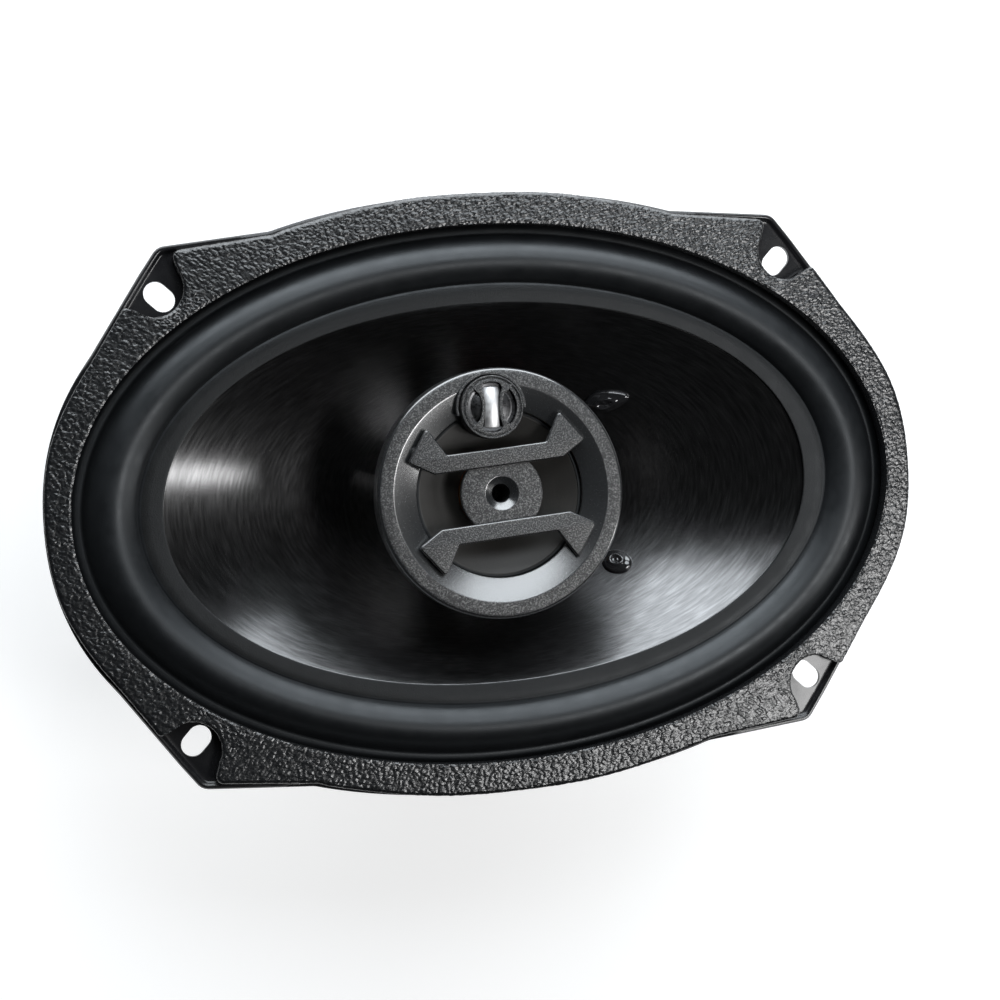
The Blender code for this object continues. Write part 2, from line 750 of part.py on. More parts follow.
def make_wiring():
    """Thin leads: terminal to capacitors, and on through the rear channel and the pole to the pod."""
    jumper = [(51.0, 7.8, 36.0), (51.8, 6.2, 36.0), (52.2, 3.0, 36.2), (52.2, -3.0, 36.2),
              (51.8, -6.2, 36.0), (51.0, -7.8, 36.0)]
    wire("capacitor_jumper", jumper, 0.45, TIN, 2)
    feed = [(76.8, 17.2, 51.9), (76.4, 19.8, 50.2), (72.0, 23.6, 46.0), (65.0, 26.6, 42.0),
            (57.5, 29.4, 38.6), (50.0, 31.5, 36.6), (44.9, 30.8, 36.0), (43.3, 28.2, 36.0)]
    wire("capacitor_feed_wire", feed, 0.5, WIRE_RED, 2)
    from_terminal = [(76.9, -9.0, 52.0), (75.0, -6.4, 48.0), (68.0, -3.6, 41.0), (60.0, -2.0, 33.5),
                     (53.4, -1.3, 26.5)]
    from_jumper = [(53.5, 0.2, 34.6), (53.4, 0.8, 31.0), (51.8, 1.2, 26.5)]
    onward = [(49.4, 1.2, 19.0), (49.2, 1.1, 10.0), (49.0, 1.05, 4.6), (48.0, 1.0, 1.8), (45.4, 1.0, 1.0),
              (42.0, 1.0, 0.95), (25.0, 1.0, 0.95), (11.0, 1.0, 0.95), (7.0, 1.0, 1.6), (5.9, 1.0, 5.0),
              (5.9, 1.0, 15.0), (5.9, 1.0, 45.0), (6.6, 1.2, 58.0), (11.0, 1.6, 64.5), (16.0, 1.6, 68.0),
              (17.0, 1.6, 72.0), (17.0, 1.6, 75.5)]
    for name, side, finish, start in (
        ("pod_lead_negative", -1, WIRE_BLACK, from_terminal),
        ("pod_lead_positive", 1, WIRE_RED, from_jumper),
    ):
        wire(name, start + [(x, side * y, z) for x, y, z in onward], 0.6, finish, 1)


# ---------------------------------------------------------------- pod and midrange

def wall_z(radius):
    """Height of the bezel's sloping wall between its opening and its flat ring."""
    share = (radius - POD_OPENING) / (POD_RING_INNER - POD_OPENING)
    return POD_TOP - POD_WALL_DROP * (1 - share)


def tweeter_centre():
    return in_pod(*TWEETER_OFFSET)


def make_bezel():
    """The pod's front ring, its sloping wall, and the half collar that the tweeter sits in."""
    lip = POD_OPENING
    profile = [
        (POD_RING_INNER, POD_TOP), (POD_RADIUS - 0.6, POD_TOP), (POD_RADIUS, POD_TOP - 0.5),
        (POD_RADIUS, 84.6), (POD_RADIUS - 1.5, 84.6), (POD_RADIUS - 1.5, 89.4), (29.6, 89.4),
        (27.6, 88.6), (lip, 88.4), (lip, wall_z(lip)),
    ]
    bezel = turned("pod_bezel", profile, POD_PLASTIC, BIG_STEPS)
    centre = tweeter_centre()
    collar = disc("tweeter_collar", 9.5, 89.15, 92.4, None, 24, centre)
    cut(collar, disc("collar_trim", POD_OPENING + 0.9, 80.0, 100.0, None, BIG_STEPS))
    join(bezel, collar)
    cut(bezel, disc("tweeter_hole", TWEETER_RADIUS + 0.3, 80.0, 100.0, None, 24, centre))
    return bezel


def make_pod_cup():
    """The pod's rear shell, standing on the post."""
    profile = [
        (31.6, 89.0), (31.6, 84.0), (30.2, 80.5), (21.5, CUP_BOTTOM), (1.9, CUP_BOTTOM),
        (1.9, CUP_BOTTOM + 1.5), (20.7, CUP_BOTTOM + 1.5), (28.9, 81.0), (30.2, 84.4), (30.2, 89.0),
    ]
    cup = turned("pod_cup", profile, POD_PLASTIC, MID_STEPS)
    return cut(cup, box("lead_entry", (3.0, 6.0, 8.0), (17.0, 0, CUP_BOTTOM)))


def bar_outline(side):
    """One bow-tie bar of the guard, in the pod's turned frame."""
    half = [(17.6, 7.3), (24.2, 11.3), (18.1, 19.8), (13.5, 12.0)]
    mirrored = [(-x, y) for x, y in reversed(half)]
    corners = half + mirrored
    rounded = []
    for i, corner in enumerate(corners):
        rounded += fillet(corners[i - 1], corner, corners[(i + 1) % len(corners)], 0.8, 2)
    points = [in_pod(x, side * y) for x, y in rounded]
    return points if side > 0 else points[::-1]


def make_guard():
    """Two bow-tie bars and the centre disc, on a hub that the pod's screw goes through."""
    hub_bottom = CUP_BOTTOM + 1.5 + GAP + 2.0 + GAP
    floor = hub_bottom + 1.5
    disc_bottom = 89.9
    profile = [
        (4.5, POD_TOP), (DISC_RADIUS - 0.3, POD_TOP),
        (DISC_RADIUS, POD_TOP - 0.3), (DISC_RADIUS, disc_bottom),
        (4.2, disc_bottom), (4.2, hub_bottom), (1.8, hub_bottom), (1.8, floor), (2.45, floor), (2.45, 90.0),
    ]
    guard = turned("midrange_guard", profile, POD_PLASTIC, MID_STEPS)
    for side in (1, -1):
        join(guard, as_mesh(plate("guard_bar", [bar_outline(side)], POD_TOP - GAP, BAR_TOP)))
    return guard


def make_pod_screw():
    """The screw from the front that clamps the pod's stack to the post."""
    seat = CUP_BOTTOM + 1.5 + GAP + 2.0 + GAP + 1.5 + GAP
    profile = [
        (0.0, seat + 1.0), (0.9, seat + 1.9), (2.0, seat + 1.9), (2.2, seat + 1.5), (2.2, seat),
        (1.4, seat), (1.4, 52.0), (0.0, 51.0),
    ]
    return solid_turned("pod_screw", profile, SCREW_BLACK, 20)


def make_midrange():
    bottom = CUP_BOTTOM + 1.5 + GAP
    yoke_profile = [
        (13.2, 82.0), (13.2, bottom), (1.9, bottom), (1.9, bottom + 2.0), (11.3, bottom + 2.0), (11.3, 82.0),
    ]
    turned("midrange_yoke", yoke_profile, STEEL_ZINC, MID_STEPS)
    ring("midrange_magnet", 4.5, 8.4, bottom + 2.3, 79.6, NEODYMIUM, 20)
    ring("midrange_pole_plate", 4.5, 9.0, 79.9, 82.0, STEEL_ZINC, 20)
    frame_profile = [
        (28.2, 87.4), (28.2, 86.6), (26.6, 86.2), (25.0, 82.6), (15.0, 80.0), (13.5, 80.0),
        (13.5, 81.2), (14.8, 81.2), (24.2, 83.7), (25.8, 87.4),
    ]
    turned("midrange_frame", frame_profile, POD_PLASTIC, MID_STEPS)
    cone_profile = [
        (22.1, 87.4), (21.9, 86.9), (10.2, 82.4), (10.2, 83.0), (21.4, 87.4),
    ]
    cone = turned("midrange_cone", cone_profile, PAPER_GREY, MID_STEPS)
    former = ring("midrange_former", 9.5, 9.8, 78.2, 83.6, KAPTON, MID_STEPS)
    coil = ring("midrange_coil", 9.9, 10.5, 78.8, 81.8, COPPER, MID_STEPS)
    hang_on(axis_empty("midrange_axis", 0, 0, 82.0), [cone, former, coil])
    surround_profile = [
        (28.0, 88.1), (28.0, 87.7), (25.8, 87.7), (24.2, 86.3), (22.5, 87.7), (20.9, 87.7),
        (20.9, 88.1), (22.9, 88.1), (24.2, 86.9), (25.3, 88.1),
    ]
    turned("midrange_surround", surround_profile, RUBBER, MID_STEPS)


# ---------------------------------------------------------------- tweeter

def make_tweeter_guard(centre):
    """Front ring with two bowed bars."""
    top = TWEETER_TOP
    profile = [
        (TWEETER_RADIUS - 0.4, top), (TWEETER_RADIUS, top - 0.4), (TWEETER_RADIUS, top - 1.2),
        (6.9, top - 1.2), (6.9, top),
    ]
    guard = turned("tweeter_guard", profile, POD_PLASTIC, 20, centre)
    for side in (1, -1):
        bow = [(side * (2.2 + 0.045 * y * y), y) for y in (-7.6, -5.0, -2.5, 0.0, 2.5, 5.0, 7.6)]
        back = [(x + side * 1.1, y) for x, y in reversed(bow)]
        outline = bow + back if side < 0 else (bow + back)[::-1]
        points = []
        for x, y in outline:
            reach = math.hypot(x, y)
            shrink = min(1.0, 7.6 / reach)
            turned_x, turned_y = in_pod(x * shrink, y * shrink)
            points.append((centre[0] + turned_x, centre[1] + turned_y))
        join(guard, as_mesh(plate("tweeter_bar", [points], top - 0.5, top - 0.05)))
    return guard


def make_tweeter():
    centre = tweeter_centre()
    cup_top = TWEETER_TOP - 1.3
    cup_profile = [
        (0.0, 89.5), (7.7, 89.5), (7.7, cup_top), (TWEETER_RADIUS, cup_top),
        (TWEETER_RADIUS, 89.0), (0.0, 89.0),
    ]
    solid_turned("tweeter_cup", cup_profile, POD_PLASTIC, 20, centre)
    yoke_profile = [(0.0, 90.1), (6.7, 90.1), (6.7, 91.6), (7.4, 91.6), (7.4, 89.6), (0.0, 89.6)]
    solid_turned("tweeter_yoke", yoke_profile, STEEL_ZINC, 16, centre)
    disc("tweeter_magnet", 5.2, 90.2, 90.9, NEODYMIUM, 16, centre)
    disc("tweeter_pole_plate", 5.4, 91.0, 91.6, STEEL_ZINC, 16, centre)
    coil = ring("tweeter_coil", 5.8, 6.2, 90.7, 91.9, COPPER, 16, centre)
    dome_top = [(0.0, 93.2), (3.4, 92.9), (5.5, 92.3), (6.3, 92.4), (7.2, 92.3)]
    dome_low = [(r, z - 0.25) for r, z in reversed(dome_top)]
    dome = solid_turned("tweeter_dome", dome_top + dome_low, FOIL, 20, centre)
    hang_on(axis_empty("tweeter_axis", centre[0], centre[1], 92.0), [coil, dome])
    make_tweeter_guard(centre)


def make_all():
    make_basket()
    make_gasket()
    make_yoke()
    make_magnet()
    make_top_plate()
    make_plate_rivets()
    make_centre_post()
    make_spider()
    make_surround()
    moving = [make_cone(), *make_voice_coil()]
    for name, side in (("positive", 1), ("negative", -1)):
        moving.append(make_eyelet(f"lead_eyelet_{name}", side))
        moving.append(make_glue_dab(f"cement_dab_{name}", side))
        make_tinsel_lead(f"tinsel_lead_{name}", side)
    hang_on(axis_empty("cone_axis", 0, 0, NECK_Z), moving)
    make_terminals()
    make_capacitor("midrange_capacitor", 1)
    make_capacitor("tweeter_capacitor", -1)
    make_wiring()
    make_bezel()
    make_pod_cup()
    make_guard()
    make_pod_screw()
    make_midrange()
    make_tweeter()


clear_scene()
SPEAKER = new_collection("Coaxial Speaker")
CUTTERS = new_collection("Cutters")
CUTTERS.hide_render = True

STEEL_BLACK = material("gloss black painted steel", (0.012, 0.012, 0.013), 0.22, 0.3)
FOAM_BLACK = material("embossed black gasket", (0.022, 0.023, 0.025), 0.5)
STEEL_ZINC = material("zinc plated steel", (0.55, 0.56, 0.57), 0.35, 1.0)
FERRITE = material("dark ferrite", (0.05, 0.05, 0.052), 0.6)
POLYPROPYLENE = material("black mica polypropylene", (0.014, 0.014, 0.015), 0.3)
RUBBER = material("satin black rubber", (0.02, 0.022, 0.025), 0.45)
SPIDER_CLOTH = material("impregnated spider cloth", (0.30, 0.19, 0.07), 0.8)
KAPTON = material("amber former", (0.35, 0.16, 0.03), 0.4)
COPPER = material("enamelled copper", (0.45, 0.16, 0.06), 0.35, 0.9)
BRASS = material("brass", (0.6, 0.42, 0.16), 0.3, 1.0)
CEMENT = material("black cement", (0.006, 0.006, 0.007), 0.08)
TINSEL = material("tinsel braid", (0.45, 0.40, 0.32), 0.45, 0.7)
PHENOLIC = material("phenolic board", (0.05, 0.03, 0.02), 0.6)
TIN = material("tinned brass", (0.62, 0.60, 0.55), 0.3, 1.0)
CAP_SLEEVE = material("capacitor sleeve", (0.015, 0.02, 0.05), 0.35)
WIRE_RED = material("red wire", (0.35, 0.02, 0.02), 0.45)
WIRE_BLACK = material("black wire", (0.015, 0.015, 0.015), 0.45)
POD_PLASTIC = material("speckled grey plastic", (0.05, 0.051, 0.053), 0.42)
SCREW_BLACK = material("black screw", (0.02, 0.02, 0.02), 0.35, 0.8)
NEODYMIUM = material("nickelled neodymium", (0.6, 0.6, 0.58), 0.25, 1.0)
PAPER_GREY = material("grey midrange cone", (0.07, 0.066, 0.06), 0.6)
FOIL = material("metallised film", (0.75, 0.75, 0.76), 0.18, 1.0)

make_all()
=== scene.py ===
"""The looks of a 6 x 9 inch three-way coaxial car speaker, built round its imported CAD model.

Lengths are in millimetres in the CAD model's frame, and are turned into metres by MM: the speaker's
axis is Z, the oval's long axis is X, and the origin is the centre of the motor's rear face.
"""
import math
from contextlib import contextmanager

import bmesh
import bpy
from mathutils import Matrix, Vector, noise


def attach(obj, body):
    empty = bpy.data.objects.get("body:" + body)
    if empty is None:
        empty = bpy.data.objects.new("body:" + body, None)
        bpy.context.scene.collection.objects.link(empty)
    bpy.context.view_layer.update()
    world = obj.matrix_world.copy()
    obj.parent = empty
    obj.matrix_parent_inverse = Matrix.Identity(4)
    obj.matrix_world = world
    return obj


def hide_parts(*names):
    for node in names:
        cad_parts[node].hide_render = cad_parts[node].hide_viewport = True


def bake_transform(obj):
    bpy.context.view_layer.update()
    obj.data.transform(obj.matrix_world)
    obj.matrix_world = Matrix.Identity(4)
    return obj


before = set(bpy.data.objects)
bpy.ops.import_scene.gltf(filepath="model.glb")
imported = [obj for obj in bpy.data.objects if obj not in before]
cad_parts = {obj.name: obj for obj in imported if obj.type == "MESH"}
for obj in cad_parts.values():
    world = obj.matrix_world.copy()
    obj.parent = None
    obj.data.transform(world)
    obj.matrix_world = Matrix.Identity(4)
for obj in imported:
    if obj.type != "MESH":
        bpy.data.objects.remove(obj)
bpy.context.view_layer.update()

MM = 0.001

# Driving dimensions, as in the CAD model
GASKET_TOP = 87.7
FLANGE_TOP = 83.1
FLANGE_THICK = 1.2
SHEET = 1.0
FLANGE_OVAL = (118.9, 80.7, 2.19)
GASKET_OVAL = (117.8, 79.6, 2.19)
GASKET_INNER = (111.84, 72.09, 2.02)
SEAT_OVAL = (113.0, 73.3, 2.02)
SEAT_TOP = 81.5
SLOT_CENTRE = (84.9, 58.0)
SLOT_WIDTH = 6.2
SLOT_LENGTH = 8.8
NOTCH_CENTRE = (86.2, 60.0)
NOTCH_RADIUS = 7.4
PLATE_RADIUS = 46.0
MAGNET_RADIUS = 48.0
MAGNET_BORE = 22.0
BACK_THICK = 5.5
MAGNET_BOTTOM = 5.8
MAGNET_TOP = 23.9
TOP_PLATE_TOP = 29.7
TOP_PLATE_HOLE = 17.6
POLE_RADIUS = 15.0
POLE_BORE = 7.5
GROOVE_WIDTH = 4.4
GROOVE_DEPTH = 2.4
SHELF_TOP = 42.4
BASKET_FLOOR = 31.0
RIVET_CIRCLE = 33.0
COIL_BOTTOM = 20.8
COIL_TOP = 32.8
FORMER_TOP = 49.5
NECK_RADIUS = 16.5
NECK_Z = 47.0
CONE_EDGE = (88.5, 51.2, 2.08)
CONE_EDGE_Z = 82.5
CONE_LIP = (95.2, 56.9, 2.01)
CONE_LIP_Z = 83.1
CONE_THICK = 0.8
EYELET_XY = (38.0, 23.0)
ROLL_INNER = (95.0, 56.6, 2.01)
ROLL_OUTER = (109.4, 69.8, 2.02)
SURROUND_RIM = (112.5, 72.8, 2.02)
BAND_EDGE = (88.5, 51.15, 2.08)
SURROUND_THICK = 0.5
ROLL_HEIGHT = 4.4
BAND_TOP = CONE_LIP_Z + 0.8
RIM_TOP = SEAT_TOP + 0.8
POD_TWIST = math.radians(3.2)
POD_TOP = 91.6
POD_RADIUS = 33.5
POD_RING_INNER = 29.2
POD_OPENING = 22.6
POD_WALL_DROP = 2.2
CUP_BOTTOM = 71.7
TWEETER_OFFSET = (0.0, 23.0)
TWEETER_RADIUS = 8.4
TWEETER_TOP = 93.9
BAR_TOP = 92.9
DISC_RADIUS = 11.2
POD_FLOOR = CUP_BOTTOM + 1.8              # the midrange motor's rear face, inside the cup

ROUND_STEPS = 144
OVAL_STEPS = 288


# ---------------------------------------------------------------- materials

class Finish:
    """A Principled material, with short ways to build its texture."""

    def __init__(self, name, colour, roughness, **inputs):
        self.material = bpy.data.materials.new(name)
        self.material.use_nodes = True
        self.tree = self.material.node_tree
        self.shader = self.tree.nodes["Principled BSDF"]
        self.fill(self.shader, Base_Color=(*colour, 1.0), Roughness=roughness, **inputs)

    def plug(self, socket, value):
        """Links another socket to this one, or sets a plain value."""
        if isinstance(value, bpy.types.NodeSocket):
            self.tree.links.new(value, socket)
        else:
            socket.default_value = value

    def fill(self, node, **inputs):
        for name, value in inputs.items():
            self.plug(node.inputs[name.replace("_", " ")], value)

    def add(self, kind, options=None, **inputs):
        made = self.tree.nodes.new("ShaderNode" + kind)
        for name, value in (options or {}).items():
            setattr(made, name, value)
        self.fill(made, **inputs)
        return made

    def maths(self, operation, *values, kind="Math"):
        """The first output of a maths node."""
        made = self.add(kind, {"operation": operation})
        for socket, value in zip(made.inputs, values):
            self.plug(socket, value)
        return made.outputs["Value" if operation == "LENGTH" else 0]

    def vector(self, operation, *values):
        return self.maths(operation, *values, kind="VectorMath")

    def place(self, stretch=(1.0, 1.0, 1.0)):
        """Object coordinates in millimetres, stretched."""
        where = self.add("TexCoord").outputs["Object"]
        scaled = tuple(s / MM for s in stretch)
        return self.add("Mapping", Vector=where, Scale=scaled).outputs["Vector"]

    def noise(self, scale, detail=2.0, roughness=0.5, stretch=(1.0, 1.0, 1.0), where=None):
        where = where or self.place(stretch)
        made = self.add("TexNoise", Vector=where, Scale=scale, Detail=detail, Roughness=roughness)
        return made.outputs["Fac"]

    def cells(self, scale, stretch=(1.0, 1.0, 1.0)):
        return self.add("TexVoronoi", Vector=self.place(stretch), Scale=scale).outputs["Distance"]

    def bands(self, axis, pitch, **inputs):
        """Waves along an axis, one in each pitch."""
        options = {"bands_direction": axis}
        scale = math.pi / pitch / 10
        return self.add("TexWave", options, Vector=self.place(), Scale=scale, **inputs).outputs["Fac"]

    def spread(self, source, low, high, start=0.0, end=1.0):
        """Maps start..end of the source to low..high."""
        made = self.add("MapRange", Value=source, From_Min=start, From_Max=end, To_Min=low, To_Max=high)
        return made.outputs["Result"]

    def tint(self, factor, first, second):
        """The base colour goes from first to second with the factor."""
        made = self.add("Mix", {"data_type": "RGBA"})
        self.tree.links.new(factor, made.inputs[0])
        made.inputs[6].default_value = (*first, 1.0)
        made.inputs[7].default_value = (*second, 1.0)
        self.fill(self.shader, Base_Color=made.outputs[2])

    def wear(self, factor, low, high, start=0.3, end=0.7):
        """Roughness goes from low to high with the factor."""
        self.fill(self.shader, Roughness=self.spread(factor, low, high, start, end))

    def bump(self, height, depth, strength=1.0):
        """Adds relief of that depth in millimetres on top of what is there."""
        made = self.add("Bump", Height=height, Strength=strength, Distance=depth * MM)
        socket = self.shader.inputs["Normal"]
        if socket.links:
            self.tree.links.new(socket.links[0].from_socket, made.inputs["Normal"])
        self.fill(self.shader, Normal=made.outputs["Normal"])

    def around(self, streaks, across):
        """Coordinates for lines that run round the axis: across changes quickly, the angle slowly."""
        flat = self.vector("MULTIPLY", self.place(), (1.0, 1.0, 0.0))
        slow = self.vector("MULTIPLY", self.vector("NORMALIZE", flat), (streaks, streaks, 0.0))
        return self.vector("ADD", slow, self.add("CombineXYZ", Z=across).outputs[0])

    def radius(self, scale):
        """Distance from the axis in millimetres, times a scale."""
        return self.vector("LENGTH", self.vector("MULTIPLY", self.place(), (scale, scale, 0.0)))

    def uv(self, part, scale):
        split = self.add("SeparateXYZ", Vector=self.add("TexCoord").outputs["UV"])
        return self.maths("MULTIPLY", split.outputs[part], scale)


def shaded(name, colour, roughness, tint, wear, bump, **inputs):
    """A material whose colour, roughness and relief each follow a noise.

    Each of the three starts with its noise: scale, detail, roughness, stretch. Then tint has two colours,
    wear has two roughnesses, and bump has a depth in millimetres and a strength.
    """
    made = Finish(name, colour, roughness, **inputs)
    made.tint(made.noise(*tint[0]), *tint[1:])
    if wear:
        made.wear(made.noise(*wear[0]), *wear[1:])
    made.bump(made.noise(*bump[0]), *bump[1:])
    return made.material


def times(colour, share):
    return tuple(c * share for c in colour)


def painted_steel():
    """Gloss black paint with faint orange peel and dust."""
    made = Finish("painted_steel", (0.010, 0.010, 0.011), 0.2, Coat_Weight=0.15, Coat_Roughness=0.1,
                  Specular_IOR_Level=0.4)
    made.wear(made.noise(0.08, 4.0), 0.16, 0.34)
    dust = made.spread(made.noise(2.2, 3.0, 0.7), 0.0, 1.0, 0.62, 0.8)
    made.tint(dust, (0.009, 0.009, 0.010), (0.035, 0.035, 0.034))
    made.bump(made.noise(0.55, 1.0), 0.05, 0.35)
    return made.material


def gasket_foam():
    """Black moulded foam rubber, glossy on the crowns of its leather grain."""
    made = Finish("gasket_foam", (0.006, 0.0065, 0.0075), 0.2, Specular_IOR_Level=0.85)
    made.tint(made.noise(0.12, 3.0, 0.6), (0.004, 0.0045, 0.005), (0.009, 0.0095, 0.0105))
    made.wear(made.noise(0.9, 3.0, 0.6), 0.2, 0.32)
    made.bump(made.cells(1.6, (0.8, 1.1, 1.0)), 0.1, 0.6)
    made.bump(made.noise(3.0, 2.0, 0.6), 0.03, 0.5)
    return made.material


def zinc_steel():
    """Bright zinc plate with turning marks and a slightly cloudy passivation."""
    made = Finish("zinc_steel", (0.55, 0.56, 0.57), 0.32, Metallic=1.0)
    made.tint(made.noise(0.12, 4.0), (0.44, 0.45, 0.45), (0.63, 0.63, 0.62))
    made.wear(made.noise(0.35, 5.0, 0.65), 0.24, 0.46)
    made.bump(made.noise(1.0, 3.0, where=made.around(2.0, made.radius(7.0))), 0.02, 0.5)
    made.bump(made.noise(1.2, 3.0), 0.03, 0.25)
    return made.material


def ferrite():
    """Sintered ferrite: matt, granular, with a few chips."""
    made = Finish("ferrite", (0.05, 0.05, 0.052), 0.62)
    made.tint(made.noise(0.5, 6.0, 0.65), (0.030, 0.030, 0.032), (0.075, 0.075, 0.078))
    made.wear(made.noise(0.25, 4.0), 0.5, 0.78)
    made.bump(made.spread(made.cells(0.35), 0.0, 1.0, 0.0, 0.25), 0.12, 0.25)
    made.bump(made.noise(2.5, 4.0, 0.7), 0.06, 0.6)
    return made.material


def polypropylene():
    """Black cone skin: fine lines run round it, so its highlights fan out from the centre."""
    made = Finish("polypropylene", (0.06, 0.06, 0.062), 0.25, Metallic=1.0, Anisotropic=0.6,
                  Anisotropic_Rotation=0.25)
    tangent = made.add("Tangent", {"direction_type": "UV_MAP", "uv_map": "UVMap"}).outputs["Tangent"]
    made.fill(made.shader, Tangent=tangent)
    fine = made.noise(1.0, 1.0, where=made.around(12.0, made.uv("Y", 135.0)))
    wide = made.noise(1.0, 2.0, where=made.around(6.0, made.uv("Y", 70.0)))
    lines = made.maths("MULTIPLY", made.spread(fine, 0.0, 1.0, 0.25, 0.75),
                       made.spread(wide, 0.6, 1.2, 0.3, 0.7))
    made.tint(lines, (0.085, 0.085, 0.086), (0.148, 0.148, 0.15))
    made.wear(fine, 0.235, 0.265, 0.25, 0.75)
    return made.material


def rubber(name="rubber", colour=(0.006, 0.0066, 0.0074), low=0.36, high=0.48, grain=0.03, gloss=0.48):
    """Satin rubber with a fine moulded bloom."""
    return shaded(name, colour, low, ((0.9, 5.0, 0.65), times(colour, 0.75), times(colour, 1.35)),
                  ((0.2, 4.0, 0.6), low, high), ((2.4, 3.0, 0.7), grain, 0.6),
                  Specular_Tint=(0.92, 0.965, 1.0, 1.0), Specular_IOR_Level=gloss)


def spider_cloth():
    """Resin-dipped plain weave: two crossed sets of threads, with painted shade between them and a patchy
    tone.
    """
    made = Finish("spider_cloth", (0.30, 0.19, 0.07), 0.8, Sheen_Weight=0.15)
    threads = [made.bands(axis, 0.6, Distortion=0.35, Detail=1.0, Detail_Scale=1.5) for axis in ("X", "Y")]
    crossed = made.maths("MULTIPLY", *threads)
    patchy_and_shaded = made.maths("MULTIPLY", crossed, made.noise(0.4, 3.0))
    # Darker between the threads, which is painted shade, and in random patches
    made.tint(patchy_and_shaded, (0.17, 0.10, 0.035), (0.52, 0.36, 0.15))
    made.bump(crossed, 0.12, 0.8)
    return made.material


def copper():
    """Enamelled windings, one turn beside the next."""
    made = Finish("copper", (0.45, 0.16, 0.06), 0.3, Metallic=0.9, Coat_Weight=0.4, Coat_Roughness=0.1)
    made.bump(made.bands("Z", 0.3), 0.08, 0.9)
    made.tint(made.noise(0.8, 3.0), (0.36, 0.12, 0.04), (0.55, 0.22, 0.09))
    return made.material


def smooth_metal(name, colour, roughness, grime):
    """A plated metal with faint smudges."""
    return shaded(name, colour, roughness, ((0.8, 4.0, 0.6), times(colour, grime), colour),
                  ((1.3, 3.0), roughness * 0.75, roughness * 1.35),
                  ((1.5, 3.0, 0.5, (1.0, 5.0, 1.0)), 0.02, 0.3), Metallic=1.0)


def tinsel():
    """Braided conductor: strands cross both ways along the lead, with painted shade in the gaps between
    them.
    """
    made = Finish("tinsel", (0.45, 0.40, 0.32), 0.4, Metallic=0.7)
    strands = []
    for slant in (1.0, -1.0):
        phase = made.maths("ADD", made.uv("X", 3.0 * slant), made.uv("Y", 60.0))
        strands.append(made.maths("SINE", made.maths("MULTIPLY", phase, math.tau), 0.0))
    crossed = made.maths("MAXIMUM", *strands)
    # Darker where the strands dip between each other: painted shade
    made.tint(made.spread(crossed, 0.0, 1.0, -0.4, 1.0), (0.16, 0.11, 0.07), (0.58, 0.50, 0.40))
    made.bump(crossed, 0.08, 0.9)
    return made.material


def coloured_sleeve(name, colour, roughness):
    """Plastic insulation or shrink sleeve."""
    return shaded(name, colour, roughness, ((0.7, 4.0), times(colour, 0.7), colour),
                  ((1.0, 3.0), roughness * 0.8, roughness * 1.5), ((1.2, 2.0), 0.03, 0.35),
                  Coat_Weight=0.25, Coat_Roughness=0.15)


def pod_plastic():
    """Spark-eroded dark grey plastic with a metallic speckle."""
    made = Finish("pod_plastic", (0.03, 0.03, 0.031), 0.36, Specular_IOR_Level=0.6)
    speck = made.noise(2.8, 2.0, 0.7)
    made.tint(made.spread(speck, 0.0, 1.0, 0.49, 0.65), (0.002, 0.002, 0.003), (0.17, 0.17, 0.168))
    made.wear(speck, 0.46, 0.28, 0.4, 0.65)
    made.fill(made.shader, Metallic=made.spread(speck, 0.0, 0.7, 0.5, 0.68))
    made.bump(made.noise(2.6, 3.0, 0.75), 0.11, 0.8)
    return made.material


